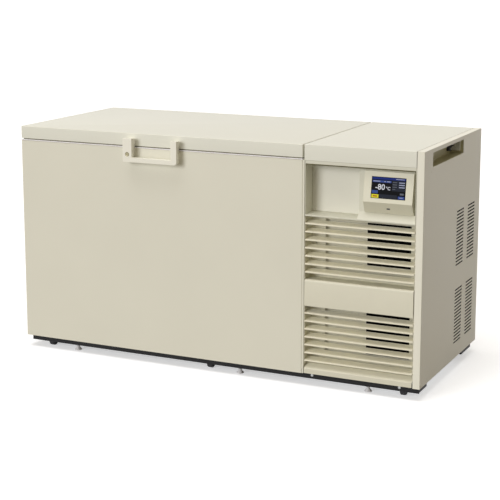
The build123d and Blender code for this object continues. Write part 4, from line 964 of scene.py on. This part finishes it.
@dataclass
class ControlHead:
    """The control moulding, the blank of the recorder bay, the display housing and its screen."""

    screen_width: float = 153.0
    screen_height: float = 92.0
    face_tilt: float = 22.0
    face_rise: float = 131.0
    nose_height: float = 796.0
    up_slope: float = 64.0
    middle_x: float = 1839.75
    blank_screws_x: Span = (1482.0, 1687.0)
    blank_screws_z: float = 738.0
    blank_screws_y: float = 76.6
    port_height: float = 769.1
    port_depth: float = 13.4
    panel_top: float = 952.0
    rim_growth: float = 3.4
    recess_x: Span = (1466.0, 1963.0)
    recess_z: Span = (752.0, 941.5)
    shade_strip_y: Span = (0.2, 5.0)

    def build(self) -> None:
        """Make and place the control head's pieces."""
        panel = copied("control_panel", "control_panel_moulding", PANEL_PAINTED_SHADE, 1.2, 3)
        for vertex in panel.data.vertices:
            if vertex.co.z > spot(0, 0, self.panel_top - 0.5).z:
                vertex.co.z = spot(0, 0, self.panel_top + self.rim_growth).z
        place(panel, "cabinet", "cream_plastic", "control_panel")
        place(self.recess_edge_shade(), "cabinet", "black_plastic")
        dress("recorder_blank", "recorder_bay_cover", COVER_PAINTED_LIGHT, "cabinet", "cream_plastic", 0.6)
        dress("display_housing", "display_housing_moulding", HOUSING_PLASTIC, "cabinet",
              "housing_plastic", 1.0, 3, pierced=True)
        place(self.port(), "cabinet", "black_plastic")
        screws = Screws(3.6, 0.9).on("recorder_cover_screws", SCREW_PAINT, Facing.FRONT, [
            spot(x, self.blank_screws_y, self.blank_screws_z) for x in self.blank_screws_x])
        place(screws, "cabinet", "zinc_steel")
        dress("touch_screen", "touch_screen_glass", GLASS, "cabinet", "screen_glass", 0.4)
        for piece in self.picture():
            place(piece, "cabinet", "screen_glass")

    def recess_edge_shade(self) -> Piece:
        """A dark olive strip along the upper and the right edge of the recess: painted shade under the rim
        and beside the recess.
        """
        right, top = self.recess_x[1], self.recess_z[1]
        shape = Shape()
        shape.block(self.recess_x, self.shade_strip_y, (top - 4.5, top))
        shape.block((right - 2.4, right + 0.4), self.shade_strip_y, self.recess_z)
        return shape.piece("control_recess_seal", PAINTED_SHADE_STRIP)

    def port(self) -> Piece:
        """The black insert of the service port, sunk in the chin's slot."""
        x, y, z = self.middle_x, self.port_depth, self.port_height
        shape = Shape().block((x - 7.2, x + 7.2), (y, y + 6.0), (z - 3.2, z + 3.2))
        return shape.piece("service_port_insert", BLACK_PLASTIC, 0.3)

    def lean(self) -> float:
        """How far the glass leans back, in radians."""
        return math.atan2(self.face_tilt, self.face_rise)

    def on_glass(self, across: float, down: float, proud: float) -> Vector:
        """A place on the glass, in the frame's metres.

        Args:
            across: From the glass's left edge, as a share of its width.
            down: From its top edge, as a share of its height.
            proud: How far it stands off the glass, in millimetres.

        Returns:
            The place.
        """
        up_face = Vector((0.0, math.sin(self.lean()), math.cos(self.lean())))
        outward = Vector((0.0, -math.cos(self.lean()), math.sin(self.lean())))
        foot = Vector((self.middle_x, 0.0, self.nose_height))
        along = Vector(((across - 0.5) * self.screen_width, 0.0, 0.0))
        rise = up_face * (self.up_slope + (0.5 - down) * self.screen_height)
        return spot(*(foot + along + rise + outward * proud))

    def tiles(self, name: str, finish: Finish, proud: float, places: Sequence[Sequence[float]]) -> Piece:
        """Flat lit fields of one colour, each as left, top, right and bottom shares."""
        form = bmesh.new()
        for left, top, right, bottom in places:
            corners = [(left, bottom), (right, bottom), (right, top), (left, top)]
            form.faces.new([form.verts.new(self.on_glass(x, y, proud)) for x, y in corners])
        return finished(form, name, finish, 0.0, 1, 30.0)

    def digits(self, name: str, words: str, left: float, height: float) -> Piece:
        """Figures on the glass, as one flat mesh."""
        curve = bpy.data.curves.new(name, "FONT")
        curve.body = words
        curve.size = height * self.screen_height / 1000 / 0.7
        curve.offset = 0.00035
        drawn = linked(name, curve)
        mesh = evaluated_mesh(drawn)
        bpy.data.objects.remove(drawn)
        turn = Matrix.Rotation(math.radians(90) - self.lean(), 4, "X")
        mesh.transform(Matrix.Translation(self.on_glass(left, 0.585, 0.25)) @ turn)
        mesh.materials.clear()
        mesh.materials.append(LitPixels("screen_pale", "#E8EAF0", 0.95).material())
        return linked(name, mesh)

    def picture(self) -> list[Piece]:
        """The screen's picture: its fields, its plain bars and its figures."""
        rows = (0.20, 0.305, 0.41)
        title = [(0.015, 0.02, 0.985, 0.125)]
        header = [(0.03, 0.165, 0.575, 0.255), (0.02, 0.63, 0.20, 0.77), (0.79, 0.845, 0.975, 0.975)]
        ground = [(0.60, 0.14, 0.98, 0.62), (0.24, 0.80, 0.76, 0.975)]
        marks = [(0.80, y, 0.965, y + 0.045) for y in rows] + [
            (0.05, 0.19, 0.25, 0.225), (0.37, 0.19, 0.41, 0.225), (0.45, 0.19, 0.54, 0.225),
            (0.70, 0.055, 0.95, 0.085), (0.83, 0.895, 0.93, 0.925)]
        labels = [(0.615, y + 0.005, 0.74, y + 0.035) for y in rows] + [
            (0.615, 0.52, 0.70, 0.545), (0.84, 0.70, 0.95, 0.78)]
        fields = (
            ("screen_title_bar", LitPixels("screen_navy", "#27357A", 0.8), 0.12, title),
            ("screen_header", LitPixels("screen_blue", "#3F5496", 0.8), 0.14, header),
            ("screen_ground", LitPixels("screen_slate", "#2C2F38", 0.7), 0.13, ground),
            ("screen_marks", LitPixels("screen_soft", "#A6ABC2", 0.8), 0.18, marks),
            ("screen_labels", LitPixels("screen_grey", "#6D7078", 0.8), 0.18, labels),
            ("screen_button", LitPixels("screen_yellow", "#E9E13A", 1.0), 0.16,
             [(0.02, 0.815, 0.225, 0.975)]),
            ("screen_button_mark", LitPixels("screen_red", "#B4552A", 0.8), 0.2,
             [(0.06, 0.87, 0.185, 0.925)]))
        return [self.tiles(*field) for field in fields] + [
            self.digits("screen_reading", "-80", 0.115, 0.25),
            self.digits("screen_unit", "°C", 0.425, 0.14)]


@dataclass
class IntakeGrille:
    """The front grille: louvres in two groups, a flat band between and a sloping foot band."""

    left: float = 1463.0
    right: float = 1964.0
    pitch: float = 36.0
    louvres: int = 7
    upper_first: float = 459.0
    lower_first: float = 58.0
    louvre_depth: float = 40.0
    lip: float = 5.0
    rise: float = 8.0
    upstand: float = 0.5
    wall: float = 2.5
    back: float = 76.0
    openings: tuple[Span, ...] = ((43.5, 310.0), (427.5, 709.0))
    vent: Span = (1533.0, 1925.0)
    right_wall_y: float = 16.0
    band: Span = (310.0, 430.0)
    band_round: float = 10.0
    foot_top: float = 46.0
    studs_x: Span = (1490.0, 1945.0)
    studs_z: Span = (70.0, 580.0)

    def build(self) -> None:
        """Make and place the grille's pieces."""
        louvres = grown_by(self.blade(), rows_tree(), {
            "Rows": self.louvres, "Row step": (0.0, 0.0, self.pitch / 1000),
            "Groups": 2, "Group step": (0.0, 0.0, (self.upper_first - self.lower_first) / 1000),
            "Material": LOUVRE_PAINTED_LIGHT.material()})
        place(louvres, "grille", "cream_plastic", "front_grille")
        place(self.surround(), "grille", "cream_plastic", "front_grille")

    def blade(self) -> Piece:
        """One louvre: a rolled lip, a shelf that rises to the back, and an upstand."""
        wall, back, lip = self.wall, self.louvre_depth, self.lip
        top = lip + self.rise
        outline = [(0.0, 0.0), (0.0, lip), (back - wall, top), (back - wall, top + self.upstand),
                   (back, top + self.upstand), (back, top - wall), (wall, lip - wall), (wall, 0.0)]
        placed = [(y, self.lower_first + z) for y, z in outline]
        return Shape().prism(placed, (self.left, self.right), Axis.X).piece(
            "grille_louvres", LOUVRE_PAINTED_LIGHT, 0.8, 3)

    def surround(self) -> Piece:
        """The band, the foot band, the end walls, the back sheets and the studs."""
        shape = Shape()
        ends, sheet = (self.left, self.right), (self.back - self.wall, self.back)
        shape.prism(self.band_outline(), ends, Axis.X)
        shape.prism(self.foot_outline(), ends, Axis.X)
        for bottom, top in self.openings:
            tall = (bottom, top)
            shape.block((self.left, self.left + self.wall), (0, self.back), tall)
            shape.block((self.right - self.wall, self.right), (self.right_wall_y, self.back), tall)
            shape.block((self.left, self.vent[0]), sheet, tall)
            shape.block((self.vent[1], self.right), sheet, tall)
            shape.block(self.vent, sheet, (bottom, bottom + 38.5))
            shape.block(self.vent, sheet, (top - 18, top))
        for x in self.studs_x:
            for z in self.studs_z:
                shape.turned([(0, 0), (4, 0), (4, 20.5), (3, 22), (0, 22)], (x, sheet[0], z), Axis.Y, 16)
        return shape.piece("grille_surround", GRILLE_PLASTIC, 0.8)

    def band_outline(self) -> Outline:
        """The flat band between the louvres, with its rounded upper edge and the shelf behind."""
        (low, high), turn = self.band, self.band_round
        angles = [math.radians(step * 15) for step in range(1, 7)]
        arc = [(turn - turn * math.cos(a), high - turn + turn * math.sin(a)) for a in angles]
        return [(0.0, low), (0.0, high - turn)] + arc + [
            (self.back, high), (self.back, high - 3.0), (12.0, high - 3.0), (self.wall, high - 12.0),
            (self.wall, low)]

    def foot_outline(self) -> Outline:
        """The foot band, upright in front and then sloping up to a shelf."""
        top, wall = self.foot_top, self.wall
        return [(0.0, 2.0), (0.0, 24.5), (30.0, top), (self.back, top), (self.back, top - wall),
                (30.0, top - wall), (wall, 24.5 - wall), (wall, 2.0)]


@dataclass
class CoolingBay:
    """What is behind the grille and inside the compartment."""

    def build(self) -> None:
        """Dress the pieces behind the grille and inside the compartment."""
        for node, name, finish, slot, pierced in (
                ("front_bulkhead", "inner_bulkhead", PAINT, "cabinet_paint", True),
                ("fan_shrouds", "condenser_shrouds", GALVANISED, "grey_metal", True),
                ("fan_motors", "condenser_fan_motors", MOTOR_STEEL, "motor_metal", False),
                ("electrical_box", "electrical_control_box", GALVANISED, "grey_metal", False),
                ("heat_exchanger", "cascade_exchanger_jacket", FOAM, "foam", False),
                ("machine_base_plate", "machine_floor_plate", GALVANISED, "zinc_steel", False),
                ("condenser_filters", "intake_filters", FILTER_MESH_AND_VENT_SHADE, "black_plastic", True),
                ("condensers", "condenser_coils", ALUMINIUM, "coil_metal", True),
                ("compressors", "cascade_compressors", COMPRESSOR_STEEL, "compressor_paint", False)):
            dress(node, name, finish, "cabinet", slot, 0.6, pierced=pierced)
        for height in ("lower", "upper"):
            dress(f"{height}_fan", f"{height}_condenser_fan", BLACK_PLASTIC, f"{height}_fan",
                  "black_plastic", 0.5)


# The base


@dataclass
class Base:
    """The black base frame, its casters and its levelling feet."""

    caster_x: tuple[float, ...] = (110.0, 972.0, 1909.0)
    caster_rows: tuple[tuple[str, float], ...] = (("front", 53.5), ("rear", 696.5))
    wheel_radius: float = 25.0
    trail: float = 12.0
    foot_x: tuple[float, ...] = (263.0, 1130.0, 1751.0)
    foot_y: float = 45.0
    rail_screws: tuple[float, ...] = (1502.5, 1908.6)
    rails_x: Span = (32.0, 1998.0)
    rails_y: tuple[Span, ...] = ((3.0, 104.0), (625.0, 768.0))
    rails_z: Span = (-16.0, 17.0)
    end_plate: float = 3.0
    skirt_y: Span = (2.5, 4.5)
    skirt_z: Span = (-20.0, -0.2)

    def build(self) -> None:
        """Make and place the base's pieces."""
        repaint("base_frame", BLACK_COAT)
        place(self.rail_ends(), "cabinet", "frame_steel")
        dress("caster_plates", "caster_mounting_plates", ZINC, "cabinet", "zinc_steel", 0.6)
        screws = Screws(4.5, 2.2, washer=6.0).on("base_rail_screws", ZINC, Facing.FRONT, [
            spot(x, 3.0, -4.0) for x in self.rail_screws])
        place(screws, "cabinet", "zinc_steel")
        for row, row_y in self.caster_rows:
            for side, x in zip(SIDES, self.caster_x):
                self.caster(f"{row}_{side}", x, row_y)
        for side, x in zip(SIDES, self.foot_x):
            self.foot(side, x)

    def rail_ends(self) -> Piece:
        """The plates that close the ends of the two rails, and the front rail's skirt."""
        left, right = self.rails_x
        shape = Shape().block(self.rails_x, self.skirt_y, self.skirt_z)
        for span in self.rails_y:
            for start in (left, right - self.end_plate):
                shape.block((start, start + self.end_plate), span, self.rails_z)
        return shape.piece("base_rail_ends", BLACK_COAT, 0.8)

    def caster(self, where: str, x: float, y: float) -> None:
        """One caster: its yoke rides on the fork's body and its wheel on the wheel's."""
        dress(f"caster_fork_{where}", f"caster_yoke_{where}", YOKE_PAINTED_SHEEN, f"fork_{where}", "zinc_steel", 1.0)
        half = [(4.05, 12), (9, 12), (10, 9), (17.5, 9), (18.5, 11.6), (22.5, 12), (24.4, 10.5),
                (self.wheel_radius, 7)]
        profile = [(radius, -along) for radius, along in half] + half[::-1] + [(4.05, -12)]
        wheel = Shape().turned(profile, (x, y + self.trail, self.wheel_radius - CASE_LIFT), Axis.X, 48)
        place(wheel.piece(f"caster_wheel_{where}", TREAD), f"wheels_{where}", "wheel_rubber",
              f"caster_wheels_{where}")

    def foot(self, side: str, x: float) -> None:
        """One levelling foot: a turned bell, a hexagon and a threaded stem."""
        stem = [(5.0 if step % 2 else 4.3, 22 + step * 1.6) for step in range(30)]
        profile = [(0, 0), (15.5, 0), (17, 1), (17, 3), (15.5, 5), (11.5, 10), (8, 14.5), (6.5, 17),
                   (6.5, 18), (9.0, 18.4), (9.0, 21.6), (5.0, 22)] + stem + [(4.3, 72), (0, 74)]
        foot = Shape().turned(profile, (x, self.foot_y, -CASE_LIFT), Axis.Z)
        place(foot.piece(f"levelling_pad_{side}", FOOT_PAINTED_REFLECTION), f"foot_{side}", "caster_metal",
              f"levelling_foot_{side}")


# The studio


@dataclass
class Studio:
    """The camera, the floor, the light and the white surroundings."""

    camera_place: tuple[float, float, float] = (2.7313, -5.7918, 1.9118)
    yaw: float = 25.237
    pitch: float = 10.466
    lens: float = 98.55
    shift_up: float = -0.1
    floor_reach: float = 150.0
    floor_shade: tuple[float, ...] = (0.16, 0.15, 0.13, 1.0)
    floor_white: tuple[float, ...] = (0.80, 0.82, 0.86, 1.0)
    floor_glow: float = 0.5
    sky: float = 0.36
    sky_tint: str = "#FFEED2"
    key: float = 1.40
    key_angle: float = 40.0
    fill: float = 1.55
    fill_angle: float = 30.0

    def build(self) -> None:
        """Set the studio up."""
        self.camera()
        self.floor()
        self.light()
        bpy.context.scene.view_settings.view_transform = "Standard"

    def camera(self) -> None:
        """The camera at the photograph's place."""
        data = bpy.data.cameras.new("camera")
        data.lens = self.lens
        data.sensor_width = 36.0
        data.shift_y = self.shift_up
        data.clip_end = 400.0
        camera = linked("camera", data)
        camera.location = self.camera_place
        camera.rotation_euler = (math.radians(90 - self.pitch), 0.0, math.radians(self.yaw))
        bpy.context.scene.camera = camera

    def pale_to_camera(self, tree: Tree) -> Socket:
        """One for rays from the camera, from gloss or through glass, and nought for others."""
        path = add_node(tree, "ShaderNodeLightPath")
        pale = path.outputs["Is Camera Ray"]
        for kind in ("Is Glossy Ray", "Is Transmission Ray"):
            pale = add_node(tree, "ShaderNodeMath", links={0: pale, 1: path.outputs[kind]},
                            operation="MAXIMUM").outputs[0]
        return pale

    def floor(self) -> None:
        """A wide pale floor that keeps the shadow and lights the object only a little."""
        mesh = bpy.data.meshes.new("studio_floor")
        far = self.floor_reach
        mesh.from_pydata([(-far, -far, 0), (far, -far, 0), (far, far, 0), (-far, far, 0)],
                         [], [(0, 1, 2, 3)])
        floor = linked("studio_floor", mesh)
        material = bpy.data.materials.new("studio_paper")
        material.use_nodes = True
        tree = material.node_tree
        tree.nodes.clear()
        grey = add_node(tree, "ShaderNodeBsdfDiffuse", {"Color": self.floor_shade})
        white = add_node(tree, "ShaderNodeBsdfDiffuse", {"Color": self.floor_white})
        glow = add_node(tree, "ShaderNodeEmission", {"Strength": self.floor_glow})
        bright = add_node(tree, "ShaderNodeAddShader", links={0: white.outputs[0], 1: glow.outputs[0]})
        mixed = add_node(tree, "ShaderNodeMixShader", links={
            0: self.pale_to_camera(tree), 1: grey.outputs[0], 2: bright.outputs[0]})
        add_node(tree, "ShaderNodeOutputMaterial", links={"Surface": mixed.outputs[0]})
        mesh.materials.append(material)

    def sun(self, name: str, strength: float, angle: float, towards: Vector) -> None:
        """Add one sun.

        Args:
            name: Its name.
            strength: Its strength, in watts to the square metre.
            angle: Its width in the sky, in degrees.
            towards: The way from the object to it.
        """
        lamp = bpy.data.lights.new(name, "SUN")
        lamp.energy = strength
        lamp.angle = math.radians(angle)
        holder = linked(name, lamp)
        holder.rotation_mode = "QUATERNION"
        holder.rotation_quaternion = towards.normalized().to_track_quat("Z", "Y")

    def light(self) -> None:
        """A broad key from above, a broad fill from the left front, and an even sky."""
        self.sun("key", self.key, self.key_angle, Vector((-0.1, -0.15, 0.98)))
        self.sun("fill", self.fill, self.fill_angle, Vector((-0.4, -0.9, 0.25)))
        world = bpy.data.worlds.new("studio")
        bpy.context.scene.world = world
        world.use_nodes = True
        tree = world.node_tree
        tree.nodes.clear()
        pale = self.pale_to_camera(tree)
        strength = add_node(tree, "ShaderNodeMapRange", {"To Min": self.sky, "To Max": 1.0},
                            {"Value": pale})
        tint = add_node(tree, "ShaderNodeMix", {6: linear(self.sky_tint), 7: (1, 1, 1, 1)},
                        {"Factor": pale}, data_type="RGBA")
        sky = add_node(tree, "ShaderNodeBackground", links={
            "Color": tint.outputs[2], "Strength": strength.outputs["Result"]})
        add_node(tree, "ShaderNodeOutputWorld", links={"Surface": sky.outputs[0]})


def main() -> None:
    """Build every sub-assembly in order, then the studio."""
    logging.basicConfig(level=logging.INFO, format="%(name)s: %(message)s")
    assemblies = [ChestBody(), ChestLid(), Latch(), MachineShell(), ControlHead(), IntakeGrille(),
                  CoolingBay(), Base()]
    for assembly in assemblies:
        assembly.build()
        LOG.info("%s is built", type(assembly).__name__)
    Studio().build()
    bpy.context.view_layer.update()


if __name__ == "__main__":
    main()
